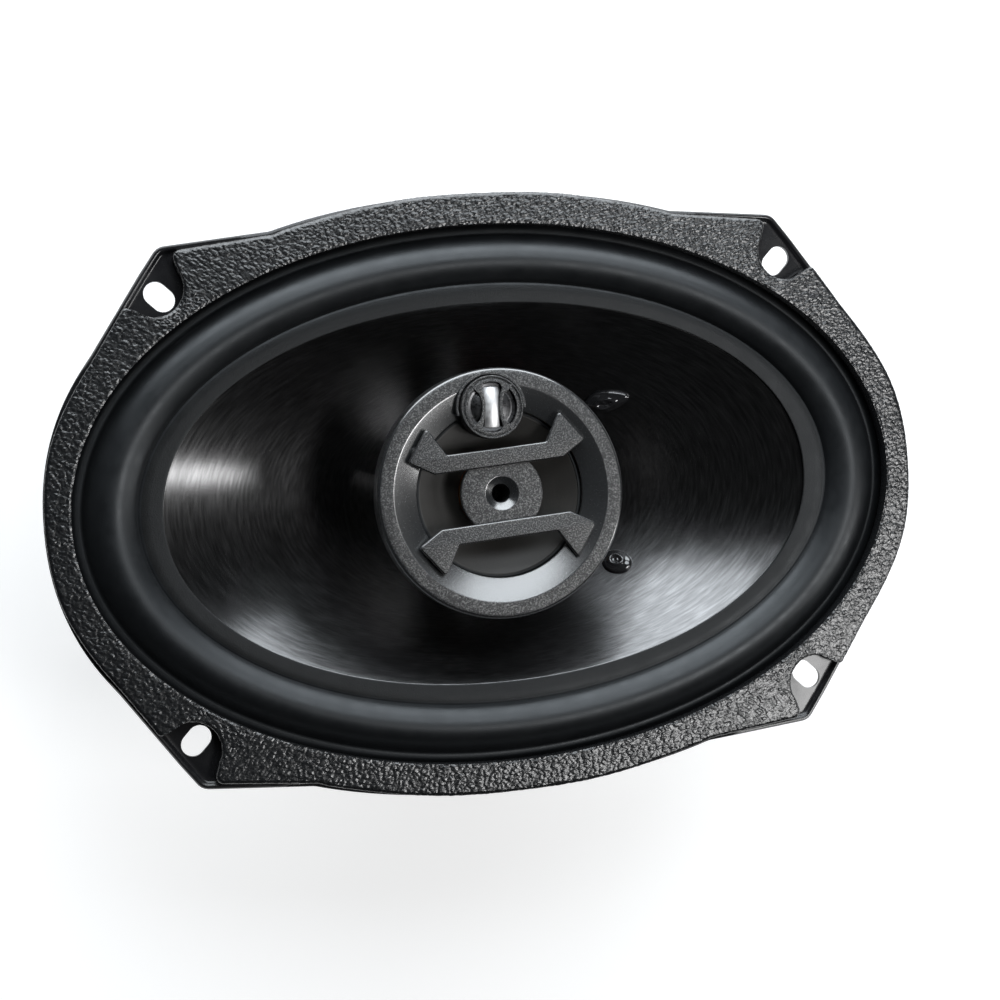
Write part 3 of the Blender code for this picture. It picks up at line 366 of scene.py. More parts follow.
MATERIALS = {
    "painted_steel": painted_steel(),
    "gasket_foam": gasket_foam(),
    "zinc_steel": zinc_steel(),
    "ferrite": ferrite(),
    "polypropylene": polypropylene(),
    "rubber": rubber(),
    "spider_cloth": spider_cloth(),
    # Clear brown polyimide film
    "former_film": shaded(
        "former_film", (0.35, 0.16, 0.03), 0.35, ((0.3, 3.0), (0.26, 0.11, 0.02), (0.42, 0.20, 0.04)), None,
        ((1.0, 2.0), 0.03, 0.3), Coat_Weight=0.5, Coat_Roughness=0.15),
    "copper": copper(),
    "brass": smooth_metal("brass", (0.62, 0.43, 0.17), 0.26, 0.7),
    # Black cement, set glossy with a few ripples
    "cement": shaded(
        "cement", (0.012, 0.012, 0.013), 0.07, ((1.5, 3.0), (0.008, 0.008, 0.009), (0.026, 0.026, 0.027)),
        ((0.9, 2.0), 0.04, 0.14), ((0.45, 1.0), 0.25, 0.4), Coat_Weight=1.0, Coat_Roughness=0.03),
    "tinsel": tinsel(),
    # Dark brown board with paper fibres
    "phenolic": shaded(
        "phenolic", (0.05, 0.03, 0.02), 0.5,
        ((0.6, 5.0, 0.7, (1.0, 8.0, 1.0)), (0.03, 0.017, 0.010), (0.085, 0.050, 0.030)),
        ((0.6, 3.0), 0.38, 0.62), ((1.8, 3.0, 0.5, (1.0, 6.0, 1.0)), 0.03, 0.5)),
    "tin": smooth_metal("tin", (0.62, 0.60, 0.55), 0.3, 0.75),
    "cap_sleeve": coloured_sleeve("cap_sleeve", (0.015, 0.02, 0.05), 0.25),
    "red_wire": coloured_sleeve("red_wire", (0.35, 0.02, 0.02), 0.4),
    "black_wire": coloured_sleeve("black_wire", (0.015, 0.015, 0.015), 0.4),
    "pod_plastic": pod_plastic(),
    "black_screw": shaded(
        "black_screw", (0.02, 0.02, 0.02), 0.3, ((2.0, 3.0), (0.012, 0.012, 0.012), (0.05, 0.05, 0.05)),
        ((3.0, 2.0), 0.2, 0.42), ((4.0, 2.0), 0.02, 0.4), Metallic=0.8),
    "neodymium": smooth_metal("neodymium", (0.6, 0.6, 0.58), 0.2, 0.85),
    # Coated grey-brown paper, a little fibrous
    "midrange_cone": shaded(
        "midrange_cone", (0.02, 0.018, 0.016), 0.5,
        ((1.8, 5.0, 0.7, (1.0, 2.5, 1.0)), (0.007, 0.0062, 0.0054), (0.026, 0.0235, 0.02)), None,
        ((3.0, 4.0, 0.7), 0.05, 0.6)),
    # Metallised film, brushed satin, with faint wrinkles; only the bright strip over the tweeter's dome
    # wears it, as a painted highlight
    "foil": shaded(
        "foil", (0.78, 0.78, 0.79), 0.4,
        ((2.5, 4.0, 0.5, (1.0, 0.3, 1.0)), (0.62, 0.62, 0.63), (0.86, 0.86, 0.86)),
        ((0.9, 3.0), 0.36, 0.48), ((1.4, 2.0), 0.02, 0.3), Metallic=1.0),
}
BAND_RUBBER = rubber("rubber_band", (0.0075, 0.0075, 0.0076), 0.34, 0.45, 0.09, 0.28)
BLACK_RUBBER = rubber("rubber_black", (0.003, 0.003, 0.003), 0.55, 0.7)
# A darkened copy of the foil: painted shade on the tweeter's dome
PAINTED_SHADE_FOIL = smooth_metal("foil_painted_shade", (0.10, 0.10, 0.103), 0.3, 0.7)
# The pod's plastic without its grain
SMOOTH_PLASTIC = shaded(
    "pod_plastic_smooth", (0.02, 0.021, 0.022), 0.24,
    ((2.0, 3.0), (0.008, 0.0085, 0.009), (0.02, 0.021, 0.022)),
    ((3.0, 3.0, 0.7), 0.2, 0.28), ((3.0, 2.0), 0.012, 0.4), Specular_IOR_Level=0.5, IOR=2.2)


# ---------------------------------------------------------------- mesh helpers

def placed(name, data):
    """A new object in the scene."""
    obj = bpy.data.objects.new(name, data)
    bpy.context.scene.collection.objects.link(obj)
    return obj


@contextmanager
def edited(mesh):
    """The mesh's faces for bmesh operations, which are written back at the end."""
    shape = bmesh.new()
    shape.from_mesh(mesh)
    yield shape
    shape.to_mesh(mesh)
    shape.free()


def evaluated_mesh(obj):
    bpy.context.view_layer.update()
    graph = bpy.context.evaluated_depsgraph_get()
    return bpy.data.meshes.new_from_object(obj.evaluated_get(graph))


def mesh_piece(name, vertices, faces, slot, uvs=None, sharp=40):
    """A smooth-shaded mesh from points in millimetres; uvs gives a pair for each face corner."""
    mesh = bpy.data.meshes.new(name)
    mesh.from_pydata([(x * MM, y * MM, z * MM) for x, y, z in vertices], (), faces)
    if uvs:
        layer = mesh.uv_layers.new(name="UVMap")
        layer.uv.foreach_set("vector", [value for pair in uvs for value in pair])
    mesh.shade_smooth()
    mesh.set_sharp_from_angle(angle=math.radians(sharp))
    mesh.materials.append(MATERIALS[slot])
    obj = placed(name, mesh)
    return obj


def settle(obj, body, *stands_for):
    """Hands a finished piece to its CAD body, in place of the nodes that it stands for."""
    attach(obj, body)
    if stands_for:
        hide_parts(*stands_for)


def apply_modifiers(obj):
    """Makes the evaluated mesh the piece's own."""
    mesh = evaluated_mesh(obj)
    obj.modifiers.clear()
    obj.data = mesh


def flex(obj, moving, weight, *stands_for):
    """Bakes a soft piece into place and hides the nodes that it stands for; a weight from 0 to 1 is worked
    out for each point but not used, and moving is not used.
    """
    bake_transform(obj)
    values = [weight(*(vertex.co / MM)) for vertex in obj.data.vertices]
    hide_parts(*stands_for)


def ease(value):
    share = min(1.0, max(0.0, value))
    return share * share * (3 - 2 * share)


def bend(start, corner, end, steps):
    """Points of the curve that leaves start for the corner and arrives at end from it."""
    shares = [step / steps for step in range(steps + 1)]
    return [tuple(start * (1 - t) ** 2 + corner * 2 * t * (1 - t) + end * t * t) for t in shares]


def softened(profile, reach, closed=True):
    """Rounds a profile's corners; a point with a third value has its own reach."""
    found = []
    count = len(profile)
    for i, point in enumerate(profile):
        here = Vector(point[:2])
        own = point[2] if len(point) > 2 else reach
        if own == 0 or (not closed and i in (0, count - 1)):
            found.append(tuple(here))
            continue
        before = Vector(profile[i - 1][:2]) - here
        after = Vector(profile[(i + 1) % count][:2]) - here
        start = here + before * min(0.45, own / before.length)
        end = here + after * min(0.45, own / after.length)
        found += bend(start, here, end, 4)
    return found


def grid_faces(rows, columns, wrap_rows, wrap_columns):
    """Quads of a grid whose rows run down and columns run round."""
    faces = []
    for row in range(rows if wrap_rows else rows - 1):
        below = (row + 1) % rows
        for column in range(columns if wrap_columns else columns - 1):
            after = (column + 1) % columns
            faces.append((row * columns + column, row * columns + after,
                          below * columns + after, below * columns + column))
    return faces


def grid_uvs(rows, columns, wrap_rows, wrap_columns, lengths):
    """Corner coordinates: the share of a turn, and the distance down the profile in decimetres."""
    uvs = []
    for row in range(rows if wrap_rows else rows - 1):
        high = lengths[row] / 100
        low = lengths[row + 1] / 100
        for column in range(columns if wrap_columns else columns - 1):
            left = column / columns
            right = (column + 1) / columns
            uvs += [(left, high), (right, high), (right, low), (left, low)]
    return uvs


def distances(points, closed):
    """Running length along a polyline, with one more value for the closing edge."""
    total = [0.0]
    around = list(points) + ([points[0]] if closed else [])
    for here, after in zip(around, around[1:]):
        total.append(total[-1] + (Vector(after) - Vector(here)).length)
    return total


def turned(name, profile, slot, centre=(0.0, 0.0), edge=0.2, steps=ROUND_STEPS, sharp=40):
    """A turned piece. Its profile is closed, or starts and ends on the axis."""
    solid = profile[0][0] == 0.0
    shape = softened(profile, edge, closed=not solid) if edge else [tuple(p[:2]) for p in profile]
    vertices = []
    for radius, z in shape:
        for i in range(steps):
            angle = math.tau * i / steps
            vertices.append((centre[0] + radius * math.cos(angle), centre[1] + radius * math.sin(angle), z))
    grid = (len(shape), steps, not solid, True)
    uvs = grid_uvs(*grid, distances(shape, not solid))
    obj = mesh_piece(name, vertices, grid_faces(*grid), slot, uvs, sharp)
    if solid:
        weld(obj)
    return face_outwards(obj)


def lathe(name, body, stands_for, profile, slot, **shape):
    """A turned piece that is finished as it leaves the lathe."""
    settle(turned(name, profile, slot, **shape), body, *stands_for)


def ring_section(outer, inner, top, bottom):
    return [(outer, top), (outer, bottom), (inner, bottom), (inner, top)]


def disc_section(radius, top, bottom):
    return [(0.0, top), (radius, top), (radius, bottom), (0.0, bottom)]


def weld(obj):
    """Merges points that coincide."""
    with edited(obj.data) as shape:
        bmesh.ops.remove_doubles(shape, verts=shape.verts, dist=0.0005 * MM)


def face_outwards(obj):
    with edited(obj.data) as shape:
        bmesh.ops.recalc_face_normals(shape, faces=shape.faces)
    return obj


def oval_point(angle, oval):
    a, b, n = oval
    c = math.cos(angle)
    s = math.sin(angle)
    return a * math.copysign(abs(c) ** (2.0 / n), c), b * math.copysign(abs(s) ** (2.0 / n), s)


def oval_size(x, y, oval):
    """1 on the oval, less inside it."""
    a, b, n = oval
    return (abs(x / a) ** n + abs(y / b) ** n) ** (1.0 / n)


def soft_rings(rings, reach):
    """Rounds the bends between rings given as (a, b, n, z)."""
    found = [rings[0]]
    for before, here, after in zip(map(Vector, rings), map(Vector, rings[1:]), map(Vector, rings[2:])):
        start, end = (here + (other - here) * min(0.45, reach / max((other - here).length, 0.01))
                      for other in (before, after))
        found += bend(start, here, end, 3)
    return [*found, rings[-1]]


def loft(name, rings, slot, thickness, steps=OVAL_STEPS, push=None, sharp=40):
    """A shell through oval rings (a, b, n, z), from the outside in; push moves points outwards."""
    vertices = []
    for a, b, n, z in rings:
        for i in range(steps):
            x, y = oval_point(math.tau * i / steps, (a, b, n))
            vertices.append(push(x, y, z) if push else (x, y, z))
    grid = (len(rings), steps, False, True)
    uvs = grid_uvs(*grid, distances([(a, z) for a, b, n, z in rings], False))
    obj = mesh_piece(name, vertices, grid_faces(*grid), slot, uvs, sharp)
    shell = obj.modifiers.new("thickness", "SOLIDIFY")
    shell.thickness = thickness * MM
    shell.offset = -1.0
    shell.use_even_offset = True
    return obj


def arc(centre, radius, start, end, steps):
    angles = [math.radians(start + (end - start) * i / steps) for i in range(steps + 1)]
    return [(centre[0] + radius * math.cos(a), centre[1] + radius * math.sin(a)) for a in angles]


def circle(radius, centre=(0.0, 0.0), steps=32):
    return arc(centre, radius, 0, 360 * (steps - 1) / steps, steps - 1)


def fillet(before, corner, after, radius, steps=8):
    """The arc that rounds a corner between two straight edges."""
    corner = Vector(corner)
    first = (Vector(before) - corner).normalized()
    second = (Vector(after) - corner).normalized()
    half = first.angle(second) / 2
    reach = radius / math.tan(half)
    middle = corner + (first + second).normalized() * radius / math.sin(half)
    start = corner + first * reach - middle
    sweep = (corner + second * reach - middle).angle_signed(start)
    return [tuple(middle + Matrix.Rotation(sweep * i / steps, 2) @ start) for i in range(steps + 1)]


def filleted(corners, radius, steps=5):
    """A closed outline with every corner rounded."""
    found = []
    for i, corner in enumerate(corners):
        found += fillet(corners[i - 1], corner, corners[(i + 1) % len(corners)], radius, steps)
    return found


def four_quadrants(quarter):
    left = [(-x, y) for x, y in reversed(quarter)]
    upper = quarter + left[1:]
    lower = [(x, -y) for x, y in reversed(upper)]
    return upper + lower[1:-1]


def resampled(outline, count):
    """The closed outline as points at equal spacing."""
    lengths = distances(outline, True)
    closed = [*outline, outline[0]]
    found = []
    span = 0
    for i in range(count):
        target = lengths[-1] * i / count
        while lengths[span + 1] < target:
            span += 1
        share = (target - lengths[span]) / max(lengths[span + 1] - lengths[span], 1e-9)
        found.append(tuple(Vector(closed[span]).lerp(Vector(closed[span + 1]), share)))
    return found


def inward(outline):
    """Unit vectors that point into a counter-clockwise outline, one for each point."""
    count = len(outline)
    found = []
    for i in range(count):
        along = Vector(outline[(i + 1) % count]) - Vector(outline[i - 1])
        found.append(Vector((-along.y, along.x)).normalized())
    return found


def flat_plate(name, outlines, bottom, top, slot, edge=0.15, matrix=None):
    """A flat plate with rounded edges, from closed outlines; inner outlines are holes."""
    curve = bpy.data.curves.new(name, "CURVE")
    curve.dimensions = "2D"
    curve.fill_mode = "BOTH"
    curve.extrude = ((top - bottom) / 2 - edge) * MM
    curve.bevel_depth = edge * MM
    curve.bevel_resolution = 3
    curve.offset = -edge * MM
    for outline in outlines:
        spline = curve.splines.new("POLY")
        spline.points.add(len(outline) - 1)
        spline.use_cyclic_u = True
        for point, (x, y) in zip(spline.points, outline):
            point.co = (x * MM, y * MM, 0.0, 1.0)
    source = placed(name, curve)
    mesh = evaluated_mesh(source)
    bpy.data.objects.remove(source, do_unlink=True)
    bpy.data.curves.remove(curve)
    mesh.materials.clear()
    mesh.materials.append(MATERIALS[slot])
    lift = Matrix.Translation((0, 0, (top + bottom) / 2 * MM))
    mesh.transform(matrix @ lift if matrix else lift)
    obj = placed(name, mesh)
    weld(obj)
    mesh.shade_smooth()
    mesh.set_sharp_from_angle(angle=math.radians(35))
    return obj


def cut(obj, cutter, sharp=40):
    """Takes the cutter out of the piece, and removes the cutter."""
    boolean = obj.modifiers.new("cut", "BOOLEAN")
    boolean.object = cutter
    boolean.operation = "DIFFERENCE"
    boolean.solver = "EXACT"
    apply_modifiers(obj)
    bpy.data.objects.remove(cutter, do_unlink=True)
    obj.data.set_sharp_from_angle(angle=math.radians(sharp))


def catmull(route, per_span):
    """A smooth curve through the route's points."""
    points = [Vector(p) for p in route]
    padded = [points[0] * 2 - points[1], *points, points[-1] * 2 - points[-2]]
    found = []
    for i in range(1, len(padded) - 2):
        p0, p1, p2, p3 = padded[i - 1:i + 3]
        for step in range(per_span):
            t = step / per_span
            bend = p0 * 2 - p1 * 5 + p2 * 4 - p3
            twist = p1 * 3 - p0 - p2 * 3 + p3
            found.append((p1 * 2 + (p2 - p0) * t + bend * t * t + twist * t * t * t) / 2)
    return [*found, points[-1]]


def tube(name, route, radius, slot, sides=14, per_span=8):
    """A round wire with closed, slightly domed ends along a smooth route."""
    path = catmull(route, per_span)
    ahead = (path[1] - path[0]).normalized()
    side = ahead.orthogonal().normalized()
    vertices = []
    spans = [(path[0], 0.0), *[(p, radius) for p in path], (path[-1], 0.0)]
    for i, (middle, size) in enumerate(spans):
        j = min(max(i - 1, 0), len(path) - 1)
        ahead = (path[min(j + 1, len(path) - 1)] - path[max(j - 1, 0)]).normalized()
        side = (side - ahead * side.dot(ahead)).normalized()
        up = ahead.cross(side)
        for k in range(sides):
            angle = math.tau * k / sides
            vertices.append(middle + (side * math.cos(angle) + up * math.sin(angle)) * size)
    grid = (len(spans), sides, False, True)
    uvs = grid_uvs(*grid, distances([span[0] for span in spans], False))
    obj = mesh_piece(name, vertices, grid_faces(*grid), slot, uvs, 60)
    weld(obj)
    return face_outwards(obj)


def in_pod(x, y):
    place = Matrix.Rotation(POD_TWIST, 2) @ Vector((x, y))
    return place.x, place.y


TWEETER = in_pod(*TWEETER_OFFSET)
TWEETER_TWIST = math.radians(-2.8)
TWEETER_PLACE = (Matrix.Translation((TWEETER[0] * MM, TWEETER[1] * MM, 0))
                 @ Matrix.Rotation(TWEETER_TWIST, 4, "Z"))


# ---------------------------------------------------------------- basket

def tab_outline():
    start = (103.3, 44.2)
    low_corner = (89.6, 64.0)
    high_corner = (84.5, 70.9)
    end = (55.0, 73.5)
    side = [oval_point(math.radians(d), FLANGE_OVAL) for d in range(0, 29, 2)]
    crown = [oval_point(math.radians(d), FLANGE_OVAL) for d in range(66, 91, 2)]
    corner = fillet(start, low_corner, high_corner, 4.0) + fillet(low_corner, high_corner, end, 4.0)
    return four_quadrants(side + [start] + corner + [end] + crown)


def slot_outline(sign_x, sign_y):
    half = SLOT_WIDTH / 2
    reach = (SLOT_LENGTH - SLOT_WIDTH) / 2 / math.sqrt(2)
    x, y = SLOT_CENTRE
    points = arc((x + reach, y + reach), half, -45, 135, 14)
    points += arc((x - reach, y - reach), half, 135, 315, 14)
    points = [(sign_x * px, sign_y * py) for px, py in points]
    return points if sign_x * sign_y > 0 else points[::-1]


def onto_oval(outline, oval):
    """The outline's points, each slid straight towards the centre until it lies on the oval."""
    sizes = [oval_size(x, y, oval) for x, y in outline]
    return [(x / size, y / size) for (x, y), size in zip(outline, sizes)]


def between(outer, inner, share):
    """An oval part of the way from one to another."""
    return tuple(first + (second - first) * share for first, second in zip(outer, inner))


def sheet_section(middle, half):
    """Both faces of a thin round sheet, from its middle line."""
    return [(r, z + half) for r, z in middle] + [(r, z - half) for r, z in reversed(middle)]


def quadrants():
    return [(sx, sy) for sx in (1, -1) for sy in (1, -1)]


RIM_RISE = 0.9


def make_flange():
    """The stamped flange with its rolled rim and screw slots."""
    outline = resampled(tab_outline(), 720)
    steps_in = inward(outline)
    rim = [(1.6, 81.9, 0.0), (0.5, 81.9, 0.0), (0.12, 82.05, 0.0), (0.0, 82.4, 0.0), (0.0, 82.75, 0.3),
           (0.12, 82.95, 0.65), (0.45, 83.08, 0.95), (0.9, FLANGE_TOP, 1.0), (1.3, FLANGE_TOP, 0.85),
           (1.65, FLANGE_TOP, 0.45), (1.9, FLANGE_TOP, 0.12), (2.2, FLANGE_TOP, 0.0), (3.0, FLANGE_TOP, 0.0)]
    inner = onto_oval(outline, (SEAT_OVAL[0] + 0.4, SEAT_OVAL[1] + 0.4, SEAT_OVAL[2]))
    vertices = []
    for depth, z, share in rim:
        for point, heading in zip(outline, steps_in):
            place = Vector(point) + heading * depth
            away = math.dist((abs(point[0]), abs(point[1])), SLOT_CENTRE)
            rise = RIM_RISE * share * ease((34.0 - away) / 9.0)
            vertices.append((place.x, place.y, z + rise))
    for z in (FLANGE_TOP, FLANGE_TOP - FLANGE_THICK):
        vertices += [(x, y, z) for x, y in inner]
    faces = grid_faces(len(rim) + 2, len(outline), True, True)
    flange = mesh_piece("basket_flange", vertices, faces, "painted_steel")
    face_outwards(flange)
    for signs in quadrants():
        slot = [slot_outline(*signs)]
        cut(flange, flat_plate("slot_cutter", slot, FLANGE_TOP - 4, FLANGE_TOP + 4, "painted_steel", 0.0))
    settle(flange, "frame", "basket")


WALL_LOW = Vector((57.5, 0.0, 44.6))      # inner face of the +X spoke, lower and upper end
WALL_HIGH = Vector((100.0, 0.0, 71.5))
BOARD_AT = 0.40
BOARD_THICK = 1.6
WINDOW_BOTTOM = 47.5
WINDOW_TOP = 72.5
WINDOW_ANGLES = [(12.0, 31.0), (42.0, 80.0)]
RIB_ANGLES = [36.5, 90.0, 143.5, 180.0, 216.5, 270.0, 323.5]
RIB_HALF = 3.2
RIB_RISE = 1.1


def ribbed(x, y, z):
    """Pushes the basket's wall outwards along the middle of each spoke."""
    level = ease((z - 45.5) / 5) * ease((76.0 - z) / 5)
    if level == 0:
        return x, y, z
    reach = math.hypot(x, y)
    angle = math.degrees(math.atan2(y, x)) % 360
    away = min(abs(angle - rib) for rib in RIB_ANGLES) * math.pi / 180 * reach
    rise = RIB_RISE * level * (1 - ease((away - RIB_HALF * 0.4) / (RIB_HALF * 0.9)))
    return x * (1 + 0.55 * rise / reach), y * (1 + 0.55 * rise / reach), z - 0.8 * rise


def window_cutter():
    """All eight windows as one set of round-edged wedges."""
    mesh = bpy.data.meshes.new("window_cutter")
    shape = bmesh.new()
    for start, end in WINDOW_ANGLES:
        pairs = ((start, end), (180 - end, 180 - start), (180 + start, 180 + end), (-end, -start))
        for low, high in pairs:
            wedge = bmesh.new()
            bmesh.ops.create_cube(wedge, size=2.0)
            for vertex in wedge.verts:
                radius = 140.0 if vertex.co.x > 0 else 36.0
                angle = math.radians(high if vertex.co.y > 0 else low)
                height = WINDOW_TOP if vertex.co.z > 0 else WINDOW_BOTTOM
                vertex.co = Vector((radius * math.cos(angle), radius * math.sin(angle), height)) * MM
            bmesh.ops.bevel(wedge, geom=wedge.edges[:], offset=4.0 * MM, segments=8, affect="EDGES",
                            profile=0.5)
            part = bpy.data.meshes.new("wedge")
            wedge.to_mesh(part)
            wedge.free()
            shape.from_mesh(part)
    shape.to_mesh(mesh)
    shape.free()
    return placed("window_cutter", mesh)


def make_bowl():
    """The basket's drawn bowl: seat for the surround, spokes, spider shelf, and floor on the motor."""
    upper = [(*SEAT_OVAL, FLANGE_TOP - 0.1), (*SEAT_OVAL, SEAT_TOP), (107.8, 68.3, 2.02, SEAT_TOP),
             (106.6, 67.2, 2.02, 80.3), (104.5, 65.8, 2.03, 76.0), (100.0, 63.6, 2.03, 71.5)]
    lower = [(57.5, 56.5, 2.0, 44.6), (54.5, 54.5, 2.0, SHELF_TOP), (45.5, 45.5, 2.0, SHELF_TOP),
             (43.6, 43.6, 2.0, 40.6), (42.6, 42.6, 2.0, 33.0), (40.6, 40.6, 2.0, BASKET_FLOOR),
             (24.0, 24.0, 2.0, BASKET_FLOOR)]
    wall = []
    for i in range(1, 14):
        wall.append(tuple(Vector(upper[-1]).lerp(Vector(lower[0]), i / 14)))
    rings = soft_rings(upper + wall[:1], 0.9) + wall[1:-1] + soft_rings(wall[-1:] + lower, 0.9)
    bowl = loft("basket_bowl", rings, "painted_steel", SHEET, 240, ribbed)
    apply_modifiers(bowl)
    cut(bowl, window_cutter())
    edge = bowl.modifiers.new("edge", "BEVEL")
    edge.width = 0.22 * MM
    edge.segments = 2
    edge.limit_method = "ANGLE"
    edge.angle_limit = math.radians(55)
    edge.use_clamp_overlap = True
    apply_modifiers(bowl)
    bowl.data.set_sharp_from_angle(angle=math.radians(50))
    settle(bowl, "frame", "basket")


# ---------------------------------------------------------------- gasket

def gasket_outline():
    side = []
    crown = []
    for degrees in [*range(0, 29, 2), *range(66, 91, 2)]:
        wrap = GASKET_WRAP * ease((26 - degrees) / 16 if degrees < 45 else (degrees - 68) / 16)
        place = Vector(oval_point(math.radians(degrees), GASKET_OVAL))
        (side if degrees < 45 else crown).append(tuple(place * (1 + wrap / place.length)))
    line_start = (102.3, 43.8)
    lower_nose = (94.2, 55.7)
    upper_nose = (81.6, 69.3)
    line_end = (54.4, 72.3)
    notch = arc(NOTCH_CENTRE, NOTCH_RADIUS, -46, -212, 30)
    lower = fillet(line_start, lower_nose, notch[0], 1.2)
    upper = fillet(notch[-1], upper_nose, line_end, 2.2)
    return four_quadrants(side + [line_start] + lower + notch + upper + [line_end] + crown)


def pebbles(x, y, z=0.0):
    """Height of the embossed leather grain: round-topped cells with narrow valleys."""
    warp_x = x + 0.5 * noise.noise((x * 0.45, y * 0.45, 3.0))
    warp_y = y + 0.5 * noise.noise((x * 0.45, y * 0.45, 9.0))
    near = noise.voronoi((warp_x / 1.7, warp_y / 1.15, z / 1.15))[0]
    valley = min(1.0, (near[1] - near[0]) / 0.34)
    dome = 1 - 0.45 * near[0]
    soft = noise.noise((x * 1.3, y * 1.9, z))
    return math.sqrt(valley) * dome * (0.85 + 0.35 * soft)


GRAIN_DEPTH = 0.22
GASKET_WRAP = 0.9


def make_gasket():
    """The gasket's body, with its grain as real relief on the face and over the edges."""
    outline = resampled(gasket_outline(), 2450)
    steps_in = inward(outline)
    inner = onto_oval(outline, GASKET_INNER)
    bottom = FLANGE_TOP + 0.3
    flat = GASKET_TOP - GRAIN_DEPTH
    rows = 34
    vertices = []
    for z in (bottom, bottom + 1.6, flat - 0.9, flat - 0.5):
        for (x, y), heading in zip(outline, steps_in):
            rise = GRAIN_DEPTH * 0.7 * pebbles(x, y, z) if z > bottom else 0.0
            vertices.append((x + heading.x * (GRAIN_DEPTH - rise), y + heading.y * (GRAIN_DEPTH - rise), z))
    for row in range(rows):
        share = row / (rows - 1)
        for (x, y), (qx, qy), heading in zip(outline, inner, steps_in):
            px = x + heading.x * 0.3
            py = y + heading.y * 0.3
            place_x = px + (qx - px) * share
            place_y = py + (qy - py) * share
            width = math.hypot(qx - px, qy - py)
            side = min(share, 1 - share) * width
            drop = (0.35 if share < 0.5 else 0.12) * (1 - ease(side / 0.7))
            vertices.append((place_x, place_y, flat - drop + GRAIN_DEPTH * pebbles(place_x, place_y)))
    for z in (flat - 1.0, bottom):
        vertices += [(x, y, z) for x, y in inner]
    faces = grid_faces(rows + 6, len(outline), True, True)
    gasket = mesh_piece("gasket_body", vertices, faces, "gasket_foam", None, 60)
    face_outwards(gasket)
    settle(gasket, "frame", "front_gasket")


# ---------------------------------------------------------------- motor

def make_motor():
    """The magnet between its two plates, the pole with its groove and vent, and the pod's post."""
    yoke_profile = [
        (POLE_RADIUS, TOP_PLATE_TOP, 0.8), (POLE_RADIUS, BACK_THICK, 1.2), (PLATE_RADIUS, BACK_THICK),
        (PLATE_RADIUS, 0.0, 0.9), (POLE_BORE + 1.2, 0.0), (POLE_BORE, 1.2), (POLE_BORE, TOP_PLATE_TOP, 0.6),
    ]
    yoke = turned("motor_yoke", yoke_profile, "zinc_steel", edge=0.4)
    half = GROOVE_WIDTH / 2
    start = POLE_BORE - 3
    end = PLATE_RADIUS + 5
    length = [(start, -half), (end, -half), (end, half), (start, half)]
    cut(yoke, flat_plate("groove", [length], -GROOVE_DEPTH, GROOVE_DEPTH, "zinc_steel", 0.0), 35)
    settle(yoke, "frame", "back_plate_and_pole")
    magnet_profile = [
        (MAGNET_RADIUS - 1.2, MAGNET_TOP), (MAGNET_RADIUS, MAGNET_TOP - 1.2),
        (MAGNET_RADIUS, MAGNET_BOTTOM + 1.2), (MAGNET_RADIUS - 1.2, MAGNET_BOTTOM),
        (MAGNET_BORE, MAGNET_BOTTOM), (MAGNET_BORE, MAGNET_TOP),
    ]
    lathe("motor_magnet", "frame", ["ferrite_magnet"], magnet_profile, "ferrite", edge=0.35)
    bottom = MAGNET_TOP + 0.3
    plate_profile = [
        (PLATE_RADIUS, TOP_PLATE_TOP, 0.9), (PLATE_RADIUS, bottom), (TOP_PLATE_HOLE, bottom),
        (TOP_PLATE_HOLE, TOP_PLATE_TOP),
    ]
    lathe("motor_top_plate", "frame", ["top_plate"], plate_profile, "zinc_steel", edge=0.4)
    glue_profile = [
        (MAGNET_BORE + 4, bottom - 0.02), (PLATE_RADIUS - 0.7, bottom - 0.02),
        (PLATE_RADIUS + 0.25, bottom - 0.1), (PLATE_RADIUS - 0.7, bottom - 0.28),
        (MAGNET_BORE + 4, bottom - 0.28),
    ]
    lathe("motor_glue_line", "frame", [], glue_profile, "cement", edge=0.08)
    seat = BASKET_FLOOR + 0.3
    rivet_profile = [
        (0.0, seat + 1.3), (2.1, seat + 1.05), (3.1, seat + 0.35), (3.1, seat), (1.6, seat),
        (1.6, TOP_PLATE_TOP - 3.6), (0.0, TOP_PLATE_TOP - 3.6),
    ]
    for index in range(4):
        angle = math.radians(45 + 90 * index)
        place = (RIVET_CIRCLE * math.cos(angle), RIVET_CIRCLE * math.sin(angle))
        lathe(f"motor_rivet_{index + 1}", "frame", [f"plate_rivet_{index + 1}"], rivet_profile, "zinc_steel",
              centre=place, edge=0.5, steps=48)
    foot_top = 7.0
    post_top = CUP_BOTTOM - 0.3
    post_profile = [
        (6.4, post_top), (6.4, post_top - 1.4), (4.2, post_top - 3.2, 1.0), (4.2, foot_top, 1.0),
        (POLE_BORE - 0.2, foot_top - 1.0), (POLE_BORE - 0.2, 2.6), (1.7, 2.6), (1.7, post_top),
    ]
    post = turned("pod_post", post_profile, "zinc_steel", edge=0.3, steps=72)
    for side in (1, -1):
        vent = [(side * 4.7, -2.2), (side * 9.3, -2.2), (side * 9.3, 2.2), (side * 4.7, 2.2)]
        cut(post, flat_plate("vent", [vent[::side]], 0.5, 9.5, "zinc_steel", 0.0))
    settle(post, "frame", "centre_post")


# ---------------------------------------------------------------- cone, surround and spider

def cone_ring(s):
    """The cone's oval (a, b, n) and its height, a share s of the way from the edge to the neck."""
    oval = between(CONE_EDGE, (NECK_RADIUS, NECK_RADIUS, 2.0), s)
    return *oval, CONE_EDGE_Z - (s + 0.16 * s * (1 - s)) * (CONE_EDGE_Z - NECK_Z)


